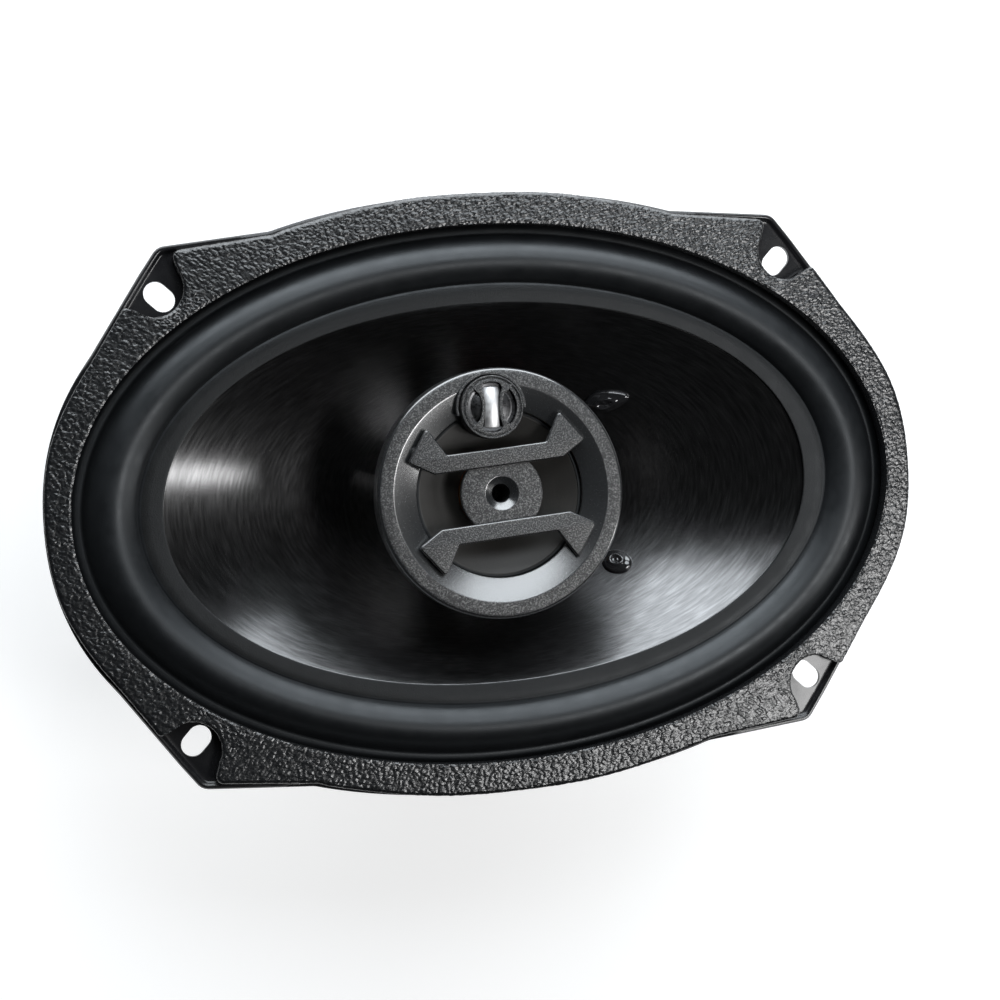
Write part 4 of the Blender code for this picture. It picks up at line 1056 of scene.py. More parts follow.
def cone_place(x, y):
    """A matrix whose Z stands on the cone's front surface at a point."""
    def height(px, py):
        low = 0.0
        high = 1.0
        for _ in range(40):
            s = (low + high) / 2
            if oval_size(px, py, cone_ring(s)[:3]) > 1.0:
                high = s
            else:
                low = s
        return cone_ring(low)[3]

    step = 0.5
    slope_x = (height(x + step, y) - height(x - step, y)) / (2 * step)
    slope_y = (height(x, y + step) - height(x, y - step)) / (2 * step)
    normal = Vector((-slope_x, -slope_y, 1.0)).normalized()
    spot = Vector((x, y, height(x, y)))
    return Matrix.Translation(spot * MM) @ normal.to_track_quat("Z", "X").to_matrix().to_4x4()


def make_cone():
    """The cone with its former, winding and neck bead."""
    rings = [(*CONE_LIP, CONE_LIP_Z)]
    rings += [cone_ring(i / 36) for i in range(37)]
    cone = loft("cone_shell", soft_rings(rings[:3], 0.3) + rings[3:], "polypropylene", CONE_THICK)
    apply_modifiers(cone)
    settle(cone, "cone_assembly", "cone")
    former = ring_section(16.0, 15.7, FORMER_TOP, COIL_BOTTOM - 0.5)
    lathe("coil_former", "cone_assembly", ["voice_coil_former"], former, "former_film", edge=0.05)
    winding = ring_section(16.7, 16.1, COIL_TOP, COIL_BOTTOM)
    lathe("coil_winding", "cone_assembly", ["voice_coil_winding"], winding, "copper", edge=0.15)
    bead = [(16.05, 1.6), (16.5, 0.9), (17.6, 0.55), (17.2, -0.2), (16.05, -0.4)]
    bead = [(radius, NECK_Z + rise) for radius, rise in bead]
    lathe("neck_glue_bead", "cone_assembly", [], bead, "cement", edge=0.3)


def surround_weight(x, y, z):
    """0 where the surround is glued to the basket, 1 where it is glued to the cone."""
    outside = 1 - oval_size(x, y, ROLL_OUTER)
    inside = oval_size(x, y, ROLL_INNER) - 1
    if outside <= 0:
        return 0.0
    if inside <= 0:
        return 1.0
    return ease(outside / (outside + inside))


def make_surround():
    """The rubber half roll, with its flat rim on the basket and its band on the cone."""
    rings = [(*SURROUND_RIM, RIM_TOP), (ROLL_OUTER[0] + 0.5, ROLL_OUTER[1] + 0.5, 2.02, RIM_TOP)]
    roll_points = 30
    for i in range(roll_points + 1):
        s = i / roll_points
        base = RIM_TOP + (BAND_TOP - RIM_TOP) * s
        groove = 0.28 * ease((s - 0.95) * 20)
        height = base + ROLL_HEIGHT * math.sin(math.pi * s) ** 0.8 - groove
        rings.append((*between(ROLL_OUTER, ROLL_INNER, s), height))
    band_starts = len(rings)
    for share, drop in ((0.12, 0.04), (0.5, 0.2), (0.93, 0.38), (0.985, 0.42), (1.0, 0.5)):
        rings.append((*between(ROLL_INNER, BAND_EDGE, share), BAND_TOP - drop))
    surround = loft("surround_roll", rings, "rubber", SURROUND_THICK, sharp=70)
    surround.data.materials.append(BAND_RUBBER)
    for face in surround.data.polygons:
        row = face.index // OVAL_STEPS
        face.material_index = 1 if row >= band_starts else 0
    apply_modifiers(surround)
    flex(surround, "cone_assembly", surround_weight, "surround")


SPIDER_HALF = 0.25
SPIDER_ROOT = 46.0                          # where the corrugations start, by the basket's shelf
SPIDER_END = 19.4                           # where they end, by the coil's former
SPIDER_RIM_Z = SHELF_TOP + 0.3 + SPIDER_HALF


def make_spider():
    """The corrugated cloth disc that centres the coil."""
    middle = [(52.5, SPIDER_RIM_Z), (50.0, SPIDER_RIM_Z), (47.2, SPIDER_RIM_Z + 0.1)]
    points = 96
    for i in range(points + 1):
        s = i / points
        fold = 1.1 * math.cos(8 * math.pi * (s - 1 / 16)) * ease(s * 12) * ease((1 - s) * 12)
        middle.append((SPIDER_ROOT + (SPIDER_END - SPIDER_ROOT) * s, SPIDER_RIM_Z + 0.9 * s + fold))
    middle += [(18.2, SPIDER_RIM_Z + 0.9), (17.0, SPIDER_RIM_Z + 1.0), (16.4, SPIDER_RIM_Z + 1.5)]
    section = sheet_section(middle, -SPIDER_HALF)
    spider = turned("spider_disc", section, "spider_cloth", edge=0.0, steps=180, sharp=60)
    flex(spider, "cone_assembly", lambda x, y, z: ease((SPIDER_ROOT - math.hypot(x, y)) / 26.6), "spider")


def make_cement_dab(name, side, turn, length, nose_share):
    """A drop of black cement over an eyelet, drawn out to a blunt point, with a swirl in its middle."""
    around = 56
    across = 22
    vertices = []
    for ring in range(across + 1):
        share = ring / across
        for i in range(around):
            angle = math.tau * i / around
            nose = max(0.0, math.cos(angle)) ** 6
            reach_x = length * (1 + 0.05 * math.sin(2 * angle + side) + nose_share * nose)
            reach_y = 3.5 * (1 + 0.05 * math.cos(3 * angle) + 0.12 * math.cos(angle))
            along = reach_x * share * math.cos(angle)
            aside = reach_y * share * math.sin(angle)
            x = along * math.cos(turn) - aside * math.sin(turn)
            y = along * math.sin(turn) + aside * math.cos(turn)
            crater = 0.5 * math.exp(-((share - 0.42) / 0.15) ** 2) - 0.35 * math.exp(-(share / 0.2) ** 2)
            bead = 0.45 * math.exp(-((x - 0.25) ** 2 + (y - 0.2) ** 2) / 0.25)
            z = 1.55 * max(0.0, 1 - share ** 2.6) ** 0.5 + crater * (1 - share ** 4) + bead
            z += 0.12 * noise.noise((x * 0.6, y * 0.6, 4.0 * side)) * (1 - share ** 6)
            vertices.append((x, y, z + 0.35))
    for i in range(around):
        x, y, z = vertices[across * around + i]
        vertices.append((x * 0.96, y * 0.96, -0.4))
    rows = across + 2
    dab = mesh_piece(name, vertices, grid_faces(rows, around, False, True), "cement", None, 80)
    weld(dab)
    with edited(dab.data) as shape:
        bmesh.ops.holes_fill(shape, edges=shape.edges[:], sides=0)
        bmesh.ops.recalc_face_normals(shape, faces=shape.faces)
    dab.data.transform(cone_place(EYELET_XY[0], side * EYELET_XY[1]))
    return dab


DROP_SHAPES = {"positive": (-0.75, 5.6, 0.3), "negative": (0.5, 4.4, 0.12)}


def make_lead_ends():
    """On each side an eyelet in the cone, its solder and cement, and the lead that ends there."""
    for name, side in (("positive", 1), ("negative", -1)):
        place = cone_place(EYELET_XY[0], side * EYELET_XY[1])
        head = -CONE_THICK - 0.25
        profile = [(0.0, 0.3), (0.8, 0.3), (0.8, head), (1.8, head), (1.8, head - 0.5), (0.0, head - 0.5)]
        eyelet = turned(f"eyelet_{name}", profile, "brass", edge=0.15, steps=40)
        eyelet.data.transform(place)
        settle(eyelet, "cone_assembly", f"lead_eyelet_{name}")
        bead = [(0.0, head - 0.3), (1.5, head - 0.35), (1.35, head - 1.0),
                (0.7, head - 1.5), (0.0, head - 1.6)]
        solder = turned(f"solder_{name}", bead, "tin", edge=0.3, steps=32)
        solder.data.transform(place)
        settle(solder, "cone_assembly")
        dab = make_cement_dab(f"cement_drop_{name}", side, *DROP_SHAPES[name])
        settle(dab, "cone_assembly", f"cement_dab_{name}")
        spot = place @ Vector((0, 0, (-CONE_THICK - 1.7) * MM)) / MM
        route = [
            (80.9, 13.2, 54.7), (82.4, 16.5, 55.2), (81.6, 19.6, 57.0), (78.6, 21.2, 59.4),
            (73.5, 21.8, 60.8), (66.0, 22.2, 60.2), (57.0, 22.8, 58.0), (49.0, 23.4, 56.2),
            (43.0, 23.4, 56.4), (spot.x, side * spot.y, spot.z),
        ]
        lead = tube(f"tinsel_braid_{name}", [(x, side * y, z) for x, y, z in route], 0.7, "tinsel", 16, 10)
        flex(lead, "cone_assembly", lambda x, y, z: ease((74.0 - x) / 28.0), f"tinsel_lead_{name}")


# ---------------------------------------------------------------- terminals and wiring

def board_frame():
    climb = (WALL_HIGH - WALL_LOW).normalized()
    outward = Vector((climb.z, 0.0, -climb.x))
    origin = WALL_LOW.lerp(WALL_HIGH, BOARD_AT) + outward * SHEET
    turn = Matrix((Vector((0, 1, 0)), climb, outward)).transposed()
    return Matrix.Translation(origin * MM) @ turn.to_4x4()


def make_terminals():
    """The board on the basket's spoke, with a wide and a narrow blade and three rivets."""
    corners = [(17.0, -6.0), (17.0, 6.0), (-17.0, 6.0), (-17.0, -6.0)]
    holes = [circle(1.8, (x, 0.0)) for x in (-12.5, 0.0, 12.5)]
    place = board_frame()
    board = flat_plate("tag_board", [filleted(corners, 1.5), *holes], 0.3, 0.3 + BOARD_THICK,
                       "phenolic", 0.12, place)
    settle(board, "frame", "terminal_board")
    stack = 0.6 + BOARD_THICK
    for name, x, width in (("positive", 12.5, 4.8), ("negative", -12.5, 2.8)):
        half = width / 2
        outline = [
            (half + 0.9, -3.0), (half + 0.9, 3.6), (-half - 0.9, 3.6), (-half - 0.9, -3.0),
            (-half, -5.0), (-half, -14.2), (-half + 0.7, -15.0), (half - 0.7, -15.0),
            (half, -14.2), (half, -5.0),
        ]
        outline = [(x + px, py) for px, py in filleted(outline, 0.25, 2)]
        holes = [circle(1.7, (x, 0.0)), circle(0.6, (x, -11.0), 20)]
        blade = flat_plate(f"tag_blade_{name}", [outline, *holes], stack, stack + 0.8, "tin", 0.12, place)
        settle(blade, "frame", f"terminal_{name}")
    rivets = [("board_rivet", 0.0, 0.3 + BOARD_THICK, -SHEET - 0.6),
              ("terminal_rivet_positive", 12.5, stack + 0.8, 0.2),
              ("terminal_rivet_negative", -12.5, stack + 0.8, 0.2)]
    for node, x, top, reach in rivets:
        base = top + 0.3
        profile = [(0.0, base + 0.55), (0.9, base + 0.55), (1.3, base + 0.9), (2.0, base + 0.6), (2.4, base),
                   (1.3, base), (1.3, reach), (0.0, reach)]
        rivet = turned(f"{node}_head", profile, "zinc_steel", edge=0.3, steps=40)
        rivet.data.transform(place @ Matrix.Translation((x * MM, 0, 0)))
        settle(rivet, "frame", node)


CAP_CIRCLE = 50.6
CAP_Z = 36.0
CAP_RADIUS = 4.8
CAP_HALF = 9.0
CAP_ANGLE = 21.0


def make_capacitors():
    """The two crossover capacitors, lying outside the basket's neck, under its shelf."""
    for name, side in (("midrange", 1), ("tweeter", -1)):
        profile = [
            (0.0, CAP_HALF - 0.35), (CAP_RADIUS - 1.3, CAP_HALF - 0.35), (CAP_RADIUS - 1.1, CAP_HALF),
            (CAP_RADIUS, CAP_HALF, 0.9), (CAP_RADIUS, CAP_HALF - 2.2, 0.3),
            (CAP_RADIUS - 0.55, CAP_HALF - 2.9, 0.3), (CAP_RADIUS, CAP_HALF - 3.6, 0.3),
            (CAP_RADIUS, -CAP_HALF, 0.9), (CAP_RADIUS - 1.1, -CAP_HALF),
            (CAP_RADIUS - 1.3, -CAP_HALF + 0.35), (0.0, -CAP_HALF + 0.35),
        ]
        can = turned(f"{name}_crossover_can", profile, "cap_sleeve", edge=0.15, steps=72)
        can.data.materials.append(MATERIALS["tin"])
        for face in can.data.polygons:
            middle = face.center / MM
            if math.hypot(middle.x, middle.y) < CAP_RADIUS - 1.25:
                face.material_index = 1
        angle = math.radians(side * CAP_ANGLE)
        place = Vector((CAP_CIRCLE * math.cos(angle), CAP_CIRCLE * math.sin(angle), CAP_Z))
        turn = Matrix.Rotation(angle, 4, "Z") @ Matrix.Rotation(-math.pi / 2, 4, "X")
        can.data.transform(Matrix.Translation(place * MM) @ turn)
        settle(can, "frame", f"{name}_capacitor")


def make_wiring():
    """The bare jumper, the feed to the capacitors, and the two wires through the pole to the pod."""
    jumper = [(51.0, 7.8, 36.0), (51.8, 6.2, 36.0), (52.2, 3.0, 36.2),
              (52.2, -3.0, 36.2), (51.8, -6.2, 36.0), (51.0, -7.8, 36.0)]
    settle(tube("jumper_wire", jumper, 0.45, "tin"), "frame", "capacitor_jumper")
    feed = [(76.8, 17.2, 51.9), (76.4, 19.8, 50.2), (72.0, 23.6, 46.0), (65.0, 26.6, 42.0),
            (57.5, 29.4, 38.6), (50.0, 31.5, 36.6), (44.9, 30.8, 36.0), (43.3, 28.2, 36.0)]
    settle(tube("feed_wire", feed, 0.5, "red_wire"), "frame", "capacitor_feed_wire")
    from_terminal = [(76.9, -9.0, 52.0), (75.0, -6.4, 48.0), (68.0, -3.6, 41.0), (60.0, -2.0, 33.5),
                     (53.4, -1.3, 26.5)]
    from_jumper = [(53.5, 0.2, 34.6), (53.4, 0.8, 31.0), (51.8, 1.2, 26.5)]
    onward = [(49.4, 1.2, 19.0), (49.2, 1.1, 10.0), (49.0, 1.05, 4.6), (48.0, 1.0, 1.8), (45.4, 1.0, 1.0),
              (42.0, 1.0, 0.95), (25.0, 1.0, 0.95), (11.0, 1.0, 0.95), (7.0, 1.0, 1.6), (5.9, 1.0, 5.0),
              (5.9, 1.0, 15.0), (5.9, 1.0, 45.0), (6.6, 1.2, 58.0), (11.0, 1.6, 64.5), (16.0, 1.6, 68.0),
              (17.0, 1.6, 72.0), (17.0, 1.6, 75.5)]
    for name, side, slot, start in (("negative", -1, "black_wire", from_terminal),
                                    ("positive", 1, "red_wire", from_jumper)):
        route = start + [(x, side * y, z) for x, y, z in onward]
        settle(tube(f"pod_wire_{name}", route, 0.6, slot, 14, 6), "frame", f"pod_lead_{name}")


# ---------------------------------------------------------------- pod and midrange

def polish(obj, picks):
    """Give the smooth plastic to the faces that picks(middle in mm, normal) chooses."""
    obj.data.materials.append(SMOOTH_PLASTIC)
    for face in obj.data.polygons:
        face.material_index = 1 if picks(face.center / MM, face.normal) else 0


def make_bezel():
    """The pod's front ring with its sloping inner wall, and the raised half collar round the tweeter."""
    lip_z = POD_TOP - POD_WALL_DROP
    profile = [
        (POD_RING_INNER, POD_TOP, 0.4), (POD_RADIUS, POD_TOP, 1.4), (POD_RADIUS, 84.6, 0.3),
        (POD_RADIUS - 1.5, 84.6), (POD_RADIUS - 1.5, 89.4), (29.6, 89.4), (27.6, 88.6), (POD_OPENING, 88.4),
        (POD_OPENING, lip_z, 0.3),
    ]
    bezel = turned("pod_ring", profile, "pod_plastic", edge=0.25, steps=216)
    bore = turned("tweeter_bore", disc_section(8.7, 100.0, 80.0), "pod_plastic", TWEETER, 0.0, 96)
    cut(bezel, bore, 30)

    def wall_or_rim(middle, normal):
        reach = math.hypot(middle.x, middle.y)
        wall = POD_OPENING - 0.1 < reach < POD_RING_INNER + 0.3 and normal.z < 0.99
        rim = reach > POD_RADIUS - 1.0 and normal.z < 0.97
        return middle.z > 89.2 and normal.z > 0.3 and (wall or rim)

    polish(bezel, wall_or_rim)
    settle(bezel, "frame", "pod_bezel")
    middle = 90 + math.degrees(POD_TWIST)
    collar = [(8.72, 92.4), (9.5, 92.4), (9.5, 91.2), (8.72, 91.2)]
    settle(arc_bar("tweeter_collar", TWEETER, collar, middle, 97), "frame")


def arc_bar(name, centre, profile, middle, half_sweep):
    """A curved bar of rounded section, with flat ends."""
    section = softened(profile, 0.22)
    steps = 72
    vertices = []
    for i in range(steps + 1):
        angle = math.radians(middle + half_sweep * (2 * i / steps - 1))
        for radius, z in section:
            vertices.append((centre[0] + radius * math.cos(angle), centre[1] + radius * math.sin(angle), z))
    count = len(section)
    faces = grid_faces(steps + 1, count, False, True)
    faces += [tuple(range(count)), tuple(range(steps * count, (steps + 1) * count))]
    return face_outwards(mesh_piece(name, vertices, faces, "pod_plastic"))


def make_cup():
    """The pod's rear shell, with its entry for the leads."""
    profile = [
        (31.6, 89.0), (31.6, 84.0, 1.2), (30.2, 80.5, 1.2), (21.5, CUP_BOTTOM, 1.2),
        (1.9, CUP_BOTTOM), (1.9, CUP_BOTTOM + 1.5), (20.7, CUP_BOTTOM + 1.5, 1.0),
        (28.9, 81.0, 1.0), (30.2, 84.4, 1.0), (30.2, 89.0),
    ]
    cup = turned("pod_shell", profile, "pod_plastic", edge=0.3)
    entry = filleted([(15.5, -3.0), (18.5, -3.0), (18.5, 3.0), (15.5, 3.0)], 1.0)
    cut(cup, flat_plate("entry", [entry], CUP_BOTTOM - 4, CUP_BOTTOM + 4, "pod_plastic", 0.0))
    settle(cup, "frame", "pod_cup")


HUB_LIFT = 2.3                              # underside of the guard's hub above the pod's floor
HUB_FLOOR = 1.5                             # thickness of the hub's floor, which the screw bears on


def make_guard():
    """The pod's guard: the middle disc with its hub, and two bow-tie bars on their legs."""
    hub_bottom = POD_FLOOR + HUB_LIFT
    floor = hub_bottom + HUB_FLOOR
    disc_bottom = 89.9
    profile = [
        (4.5, POD_TOP, 0.15), (DISC_RADIUS, POD_TOP, 0.45), (DISC_RADIUS, disc_bottom), (4.2, disc_bottom),
        (4.2, hub_bottom), (1.8, hub_bottom), (1.8, floor), (2.45, floor), (2.45, 90.1, 0.2),
    ]
    disc = turned("guard_disc", profile, "pod_plastic", edge=0.2, steps=96)
    polish(disc, lambda middle, normal: (
        middle.z > 89.0 and math.hypot(middle.x, middle.y) < 4.7 and normal.z > 0.2))
    settle(disc, "frame", "midrange_guard")
    half = [(17.6, 7.3), (24.2, 11.3), (18.1, 19.8), (13.5, 12.0)]
    corners = half + [(-x, y) for x, y in reversed(half)]
    for name, side in (("upper", 1), ("lower", -1)):
        outline = [in_pod(x, side * y) for x, y in filleted(corners, 0.8)]
        outline = outline if side > 0 else outline[::-1]
        bar = flat_plate(f"guard_bar_{name}", [outline], POD_TOP - 0.3, BAR_TOP, "pod_plastic", 0.5)
        polish(bar, lambda middle, normal: 0.35 < normal.z < 0.97)
        settle(bar, "frame", "midrange_guard")
        for end in (1, -1):
            foot = circle(2.2, in_pod(end * 20.6, side * 12.8), 28)
            tag = "right" if end > 0 else "left"
            leg = flat_plate(f"guard_leg_{name}_{tag}", [foot], 89.6, POD_TOP, "pod_plastic", 0.1)
            settle(leg, "frame")


def make_pod_screw():
    seat = POD_FLOOR + HUB_LIFT + HUB_FLOOR + 0.3
    profile = [
        (0.0, seat + 0.9), (0.45, seat + 0.95), (0.9, seat + 1.9), (2.0, seat + 1.9), (2.2, seat + 1.5, 0.3),
        (2.2, seat), (1.4, seat), (1.4, 52.0), (0.0, 51.0),
    ]
    lathe("pod_screw_head", "frame", ["pod_screw"], profile, "black_screw", edge=0.15, steps=48)


def make_midrange():
    """The midrange driver inside the pod."""
    bottom = POD_FLOOR
    yoke = [
        (13.2, 82.0), (13.2, bottom), (1.9, bottom), (1.9, bottom + 2.0), (11.3, bottom + 2.0), (11.3, 82.0),
    ]
    frame_profile = [
        (28.2, 87.4), (28.2, 86.6), (26.6, 86.2), (25.0, 82.6), (15.0, 80.0), (13.5, 80.0), (13.5, 81.2),
        (14.8, 81.2), (24.2, 83.7), (25.8, 87.4),
    ]
    cone = [
        (22.2, 87.55), (22.2, 86.95), (16.5, 84.75), (10.2, 82.4), (10.2, 83.0), (16.3, 85.35),
        (21.6, 87.55),
    ]
    magnet = ring_section(8.4, 4.5, 79.6, bottom + HUB_LIFT)
    plate = ring_section(9.0, 4.5, 82.0, 79.9)
    former = ring_section(9.8, 9.5, 83.6, 78.2)
    coil = ring_section(10.5, 9.9, 81.8, 78.8)
    for name, body, node, profile, slot, edge, steps in (
        ("mid_yoke", "frame", "midrange_yoke", yoke, "zinc_steel", 0.3, 96),
        ("mid_magnet", "frame", "midrange_magnet", magnet, "neodymium", 0.25, 72),
        ("mid_pole_plate", "frame", "midrange_pole_plate", plate, "zinc_steel", 0.25, 72),
        ("mid_frame", "frame", "midrange_frame", frame_profile, "pod_plastic", 0.3, ROUND_STEPS),
        ("mid_cone", "midrange_diaphragm", "midrange_cone", cone, "midrange_cone", 0.15, ROUND_STEPS),
        ("mid_former", "midrange_diaphragm", "midrange_former", former, "former_film", 0.05, 96),
        ("mid_coil", "midrange_diaphragm", "midrange_coil", coil, "copper", 0.1, 96),
    ):
        lathe(name, body, [node], profile, slot, edge=edge, steps=steps)
    dip = [(25.8 + (22.5 - 25.8) * i / 12, 87.9 - 1.5 * math.sin(math.pi * i / 12)) for i in range(13)]
    middle = [(28.0, 87.9), (26.6, 87.9), *dip, (22.2, 87.9), (21.9, 87.9)]
    edge = turned("mid_surround", sheet_section(middle, 0.2), "rubber", edge=0.0, sharp=60)
    edge.data.materials[0] = BLACK_RUBBER
    flex(edge, "midrange_diaphragm", lambda x, y, z: ease((25.8 - math.hypot(x, y)) / 3.3),
         "midrange_surround")


# ---------------------------------------------------------------- tweeter

def tweeter_windows():
    """Outlines of the guard's middle slot and its two side windows, in the tweeter's own frame."""
    steps = 10
    rim = 6.65

    def bowed(start, rise, reach):
        heights = [reach * i / steps for i in range(-steps, steps + 1)]
        return [(start + rise * y * y, y) for y in heights]

    slot = bowed(1.85, 0.036, 5.1)
    top = [(rim * math.sin(a), rim * math.cos(a)) for a in
           (math.asin(2.7 / rim) * (1 - 2 * i / 8) for i in range(1, 8))]
    middle = slot + top + [(-x, -y) for x, y in slot] + [(-x, -y) for x, y in top]
    side = bowed(2.75, 0.06, 4.3)
    reach = math.degrees(math.atan2(4.45, 4.6))
    outer = arc((0.0, 0.0), rim, reach, -reach, 14)
    right = side[::-1] + outer[::-1]
    return [middle, right, [(-x, -y) for x, y in right]]


DOME_REACH = 5.5                            # radius and height of the tweeter's domed film
DOME_TOP = 93.2


def make_tweeter():
    """The tweeter's cup and motor, its dome in a darkened copy of the foil as painted shade, with a bright
    strip on it as a painted highlight, and its guard ring with the bowed bars.
    """
    cup_top = TWEETER_TOP - 1.3
    cup = [
        (0.0, 89.5), (7.7, 89.5), (7.7, cup_top), (TWEETER_RADIUS, cup_top), (TWEETER_RADIUS, 89.0),
        (0.0, 89.0),
    ]
    yoke = [(0.0, 90.1), (6.7, 90.1), (6.7, 91.6), (7.4, 91.6), (7.4, 89.6), (0.0, 89.6)]
    magnet = disc_section(5.2, 90.9, 90.2)
    plate = disc_section(5.4, 91.6, 91.0)
    coil = ring_section(6.2, 5.8, 91.9, 90.7)
    for name, body, node, profile, slot, edge, steps in (
        ("tweeter_shell", "frame", "tweeter_cup", cup, "pod_plastic", 0.12, 96),
        ("tweeter_pot", "frame", "tweeter_yoke", yoke, "zinc_steel", 0.12, 72),
        ("tweeter_slug", "frame", "tweeter_magnet", magnet, "neodymium", 0.1, 72),
        ("tweeter_plate", "frame", "tweeter_pole_plate", plate, "zinc_steel", 0.1, 72),
        ("tweeter_winding", "tweeter_diaphragm", "tweeter_coil", coil, "copper", 0.05, 72),
    ):
        lathe(name, body, [node], profile, slot, centre=TWEETER, edge=edge, steps=steps)
    dome = [(DOME_REACH * i / 12, DOME_TOP - 0.9 * (i / 12) ** 2.2) for i in range(13)]
    dome += [(5.75, 92.3), (6.2, 92.45), (6.6, 92.45), (7.0, 92.32), (7.2, 92.3)]
    under = [(r, z - 0.25) for r, z in reversed(dome)]
    piece = turned("tweeter_film", dome + under, "foil", TWEETER, 0.0, 96, 60)
    # The dome wears the darkened copy of the foil, which paints shade on it
    piece.data.materials[0] = PAINTED_SHADE_FOIL
    settle(piece, "tweeter_diaphragm", "tweeter_dome")
    make_painted_highlight_strip()
    ring = [
        (TWEETER_RADIUS, TWEETER_TOP, 0.3), (TWEETER_RADIUS, TWEETER_TOP - 1.2), (6.9, TWEETER_TOP - 1.2),
        (6.9, TWEETER_TOP - 0.25), (7.45, TWEETER_TOP - 0.25), (7.6, TWEETER_TOP - 0.45),
        (7.8, TWEETER_TOP - 0.45), (7.95, TWEETER_TOP),
    ]
    lathe("tweeter_ring", "frame", ["tweeter_guard"], ring, "pod_plastic", centre=TWEETER,
          edge=0.1, steps=96)
    face = flat_plate("tweeter_grid", [circle(7.3, steps=96), *tweeter_windows()], TWEETER_TOP - 0.46,
                      TWEETER_TOP - 0.05, "pod_plastic", 0.12, TWEETER_PLACE)
    settle(face, "frame", "tweeter_guard")
    pad = filleted([(7.9, -0.42), (7.9, 0.42), (4.9, 0.3), (4.9, -0.3)], 0.15, 3)
    for index, degrees in enumerate((48, 132, 228, 312)):
        turn = TWEETER_PLACE @ Matrix.Rotation(math.radians(degrees), 4, "Z")
        rib = flat_plate(f"tweeter_rib_{index + 1}", [pad], TWEETER_TOP - 0.5, TWEETER_TOP,
                         "pod_plastic", 0.1, turn)
        settle(rib, "frame")


# Size of the painted highlight strip on the tweeter's dome
HIGHLIGHT_STRIP_HALF = 1.95
HIGHLIGHT_STRIP_REACH = 5.3


def make_painted_highlight_strip():
    """A painted highlight: a bright strip of foil across the dome, a little proud of it and rounded from
    side to side.
    """
    across = 14
    along = 32
    vertices = []
    for lift in (0.34, 0.06):
        for j in range(along + 1):
            for i in range(across + 1):
                x = HIGHLIGHT_STRIP_HALF * (2 * i / across - 1)
                y = HIGHLIGHT_STRIP_REACH * (2 * j / along - 1)
                reach = math.hypot(x, y) / DOME_REACH
                crown = 0.3 * (1 - (x / HIGHLIGHT_STRIP_HALF) ** 2) if lift > 0.1 else 0.0
                z = DOME_TOP - 0.75 * reach ** 2.2 + lift - 0.3 + crown
                vertices.append((x, y, z))
    row = across + 1
    count = row * (along + 1)
    faces = grid_faces(along + 1, row, False, False)
    faces += [tuple(index + count for index in reversed(face)) for face in faces]
    rim = [*range(row), *range(2 * row - 1, count, row), *range(count - 2, count - row - 1, -1),
           *range(count - 2 * row, 0, -row)]
    for i, here in enumerate(rim):
        after = rim[(i + 1) % len(rim)]
        faces.append((here, here + count, after + count, after))
    strip = mesh_piece("tweeter_painted_highlight", vertices, faces, "foil", None, 50)
    face_outwards(strip)
    strip.data.transform(TWEETER_PLACE)
    settle(strip, "tweeter_diaphragm")


# ---------------------------------------------------------------- scene

def make_all():
    make_flange()
    make_bowl()
    make_gasket()
    make_motor()
    make_cone()
    make_surround()
    make_spider()
    make_lead_ends()
    make_terminals()
    make_capacitors()
    make_wiring()
    make_bezel()
    make_cup()
    make_guard()
    make_pod_screw()
    make_midrange()
    make_tweeter()


def area_light(name, spot, target, width, height, radiance, colour=(1.0, 1.0, 1.0)):
    """A softbox whose face has the given radiance."""
    data = bpy.data.lights.new(name, "AREA")
    data.shape = "RECTANGLE"
    data.size = width * MM
    data.size_y = height * MM
    data.energy = radiance * math.pi * data.size * data.size_y
    data.color = colour
    light = placed(name, data)
    light.location = Vector(spot) * MM
    aim = Vector(target) - Vector(spot)
    light.rotation_euler = aim.to_track_quat("-Z", "Y").to_euler()


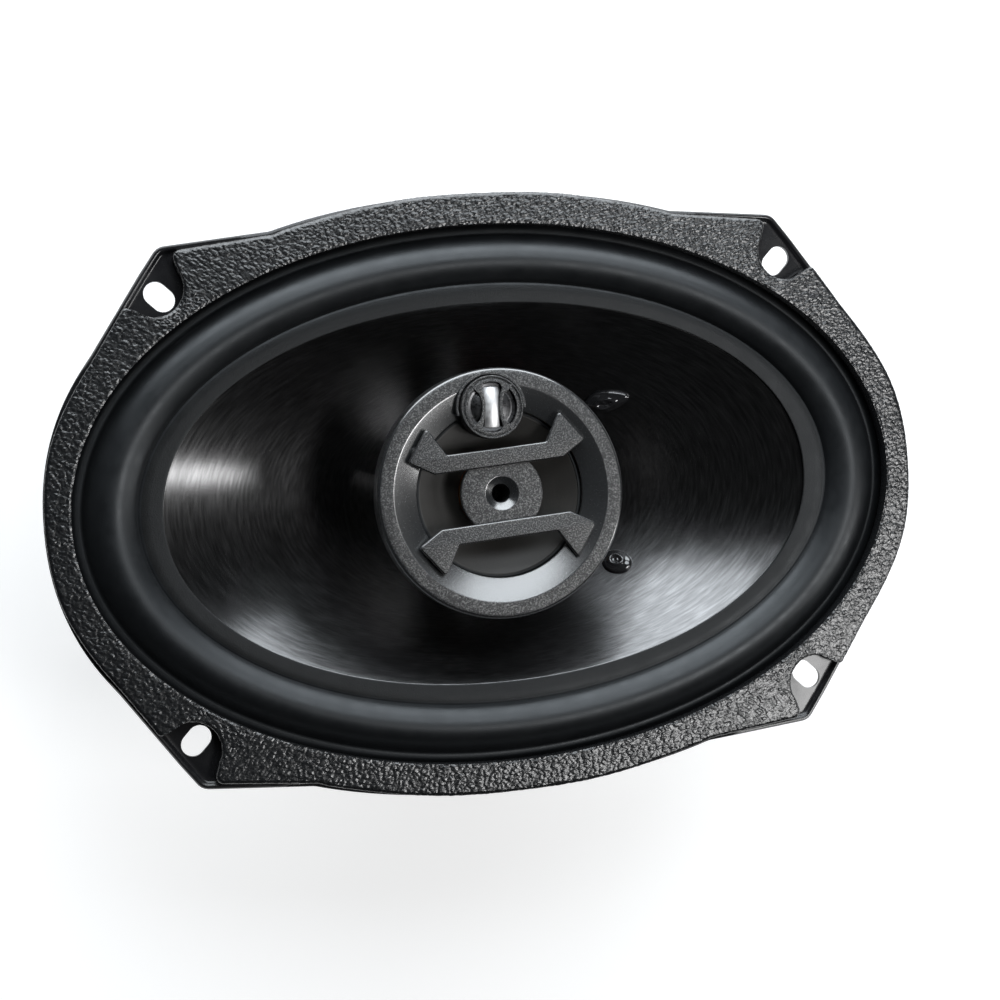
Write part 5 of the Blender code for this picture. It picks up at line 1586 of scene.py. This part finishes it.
def make_floor():
    floor_finish = Finish("floor", (0.66, 0.66, 0.66), 0.6, Emission_Color=(1.0, 1.0, 1.0, 1.0),
                          Emission_Strength=0.55, Specular_IOR_Level=0.3)
    floor_finish.tint(floor_finish.noise(0.01, 2.0), (0.65, 0.65, 0.648), (0.68, 0.68, 0.678))
    mesh = bpy.data.meshes.new("floor")
    with edited(mesh) as shape:
        bmesh.ops.create_circle(shape, cap_ends=True, radius=6.0, segments=96)
    mesh.materials.append(floor_finish.material)
    floor = placed("floor", mesh)
    floor.location.z = -0.1 * MM


def make_lights():
    cool = (0.9, 0.955, 1.0)
    area_light("back_panel", (20, 740, 350), (0, 0, 80), 1240, 500, 6.0, cool)
    area_light("high_softbox", (140, 540, 900), (0, -20, 88), 720, 370, 5.4, cool)
    area_light("overhead_softbox", (440, -215, 1000), (80, -50, 88), 340, 260, 12.5)
    area_light("side_strip", (772, -290, 510), (-40, 0, 80), 100, 420, 12.0)
    world = bpy.data.worlds.new("studio")
    bpy.context.scene.world = world
    world.use_nodes = True
    nodes = world.node_tree.nodes
    link = world.node_tree.links.new
    glow = nodes["Background"]
    glow.inputs["Color"].default_value = (0.9, 0.95, 1.0, 1.0)
    glow.inputs["Strength"].default_value = 0.02
    backdrop = nodes.new("ShaderNodeBackground")
    backdrop.inputs["Color"].default_value = (0.93, 0.93, 0.93, 1.0)
    path = nodes.new("ShaderNodeLightPath")
    mix = nodes.new("ShaderNodeMixShader")
    link(path.outputs["Is Camera Ray"], mix.inputs[0])
    link(glow.outputs[0], mix.inputs[1])
    link(backdrop.outputs[0], mix.inputs[2])
    link(mix.outputs[0], nodes["World Output"].inputs["Surface"])


def make_camera():
    data = bpy.data.cameras.new("camera")
    data.sensor_width = 36.0
    data.lens = 66.52
    data.clip_end = 50.0
    camera = placed("camera", data)
    back = -Vector((0.2141, -0.0284, -0.9764)).normalized()
    right = Vector((0.0829, 0.9965, -0.0109)).cross(back).normalized()
    up = back.cross(right)
    turn = Matrix((right, up, back)).transposed().to_4x4()
    camera.matrix_world = Matrix.Translation((-0.10582, 0.01217, 0.57085)) @ turn
    bpy.context.scene.camera = camera
    bpy.context.scene.view_settings.view_transform = "Standard"


make_camera()
make_all()
make_floor()
make_lights()
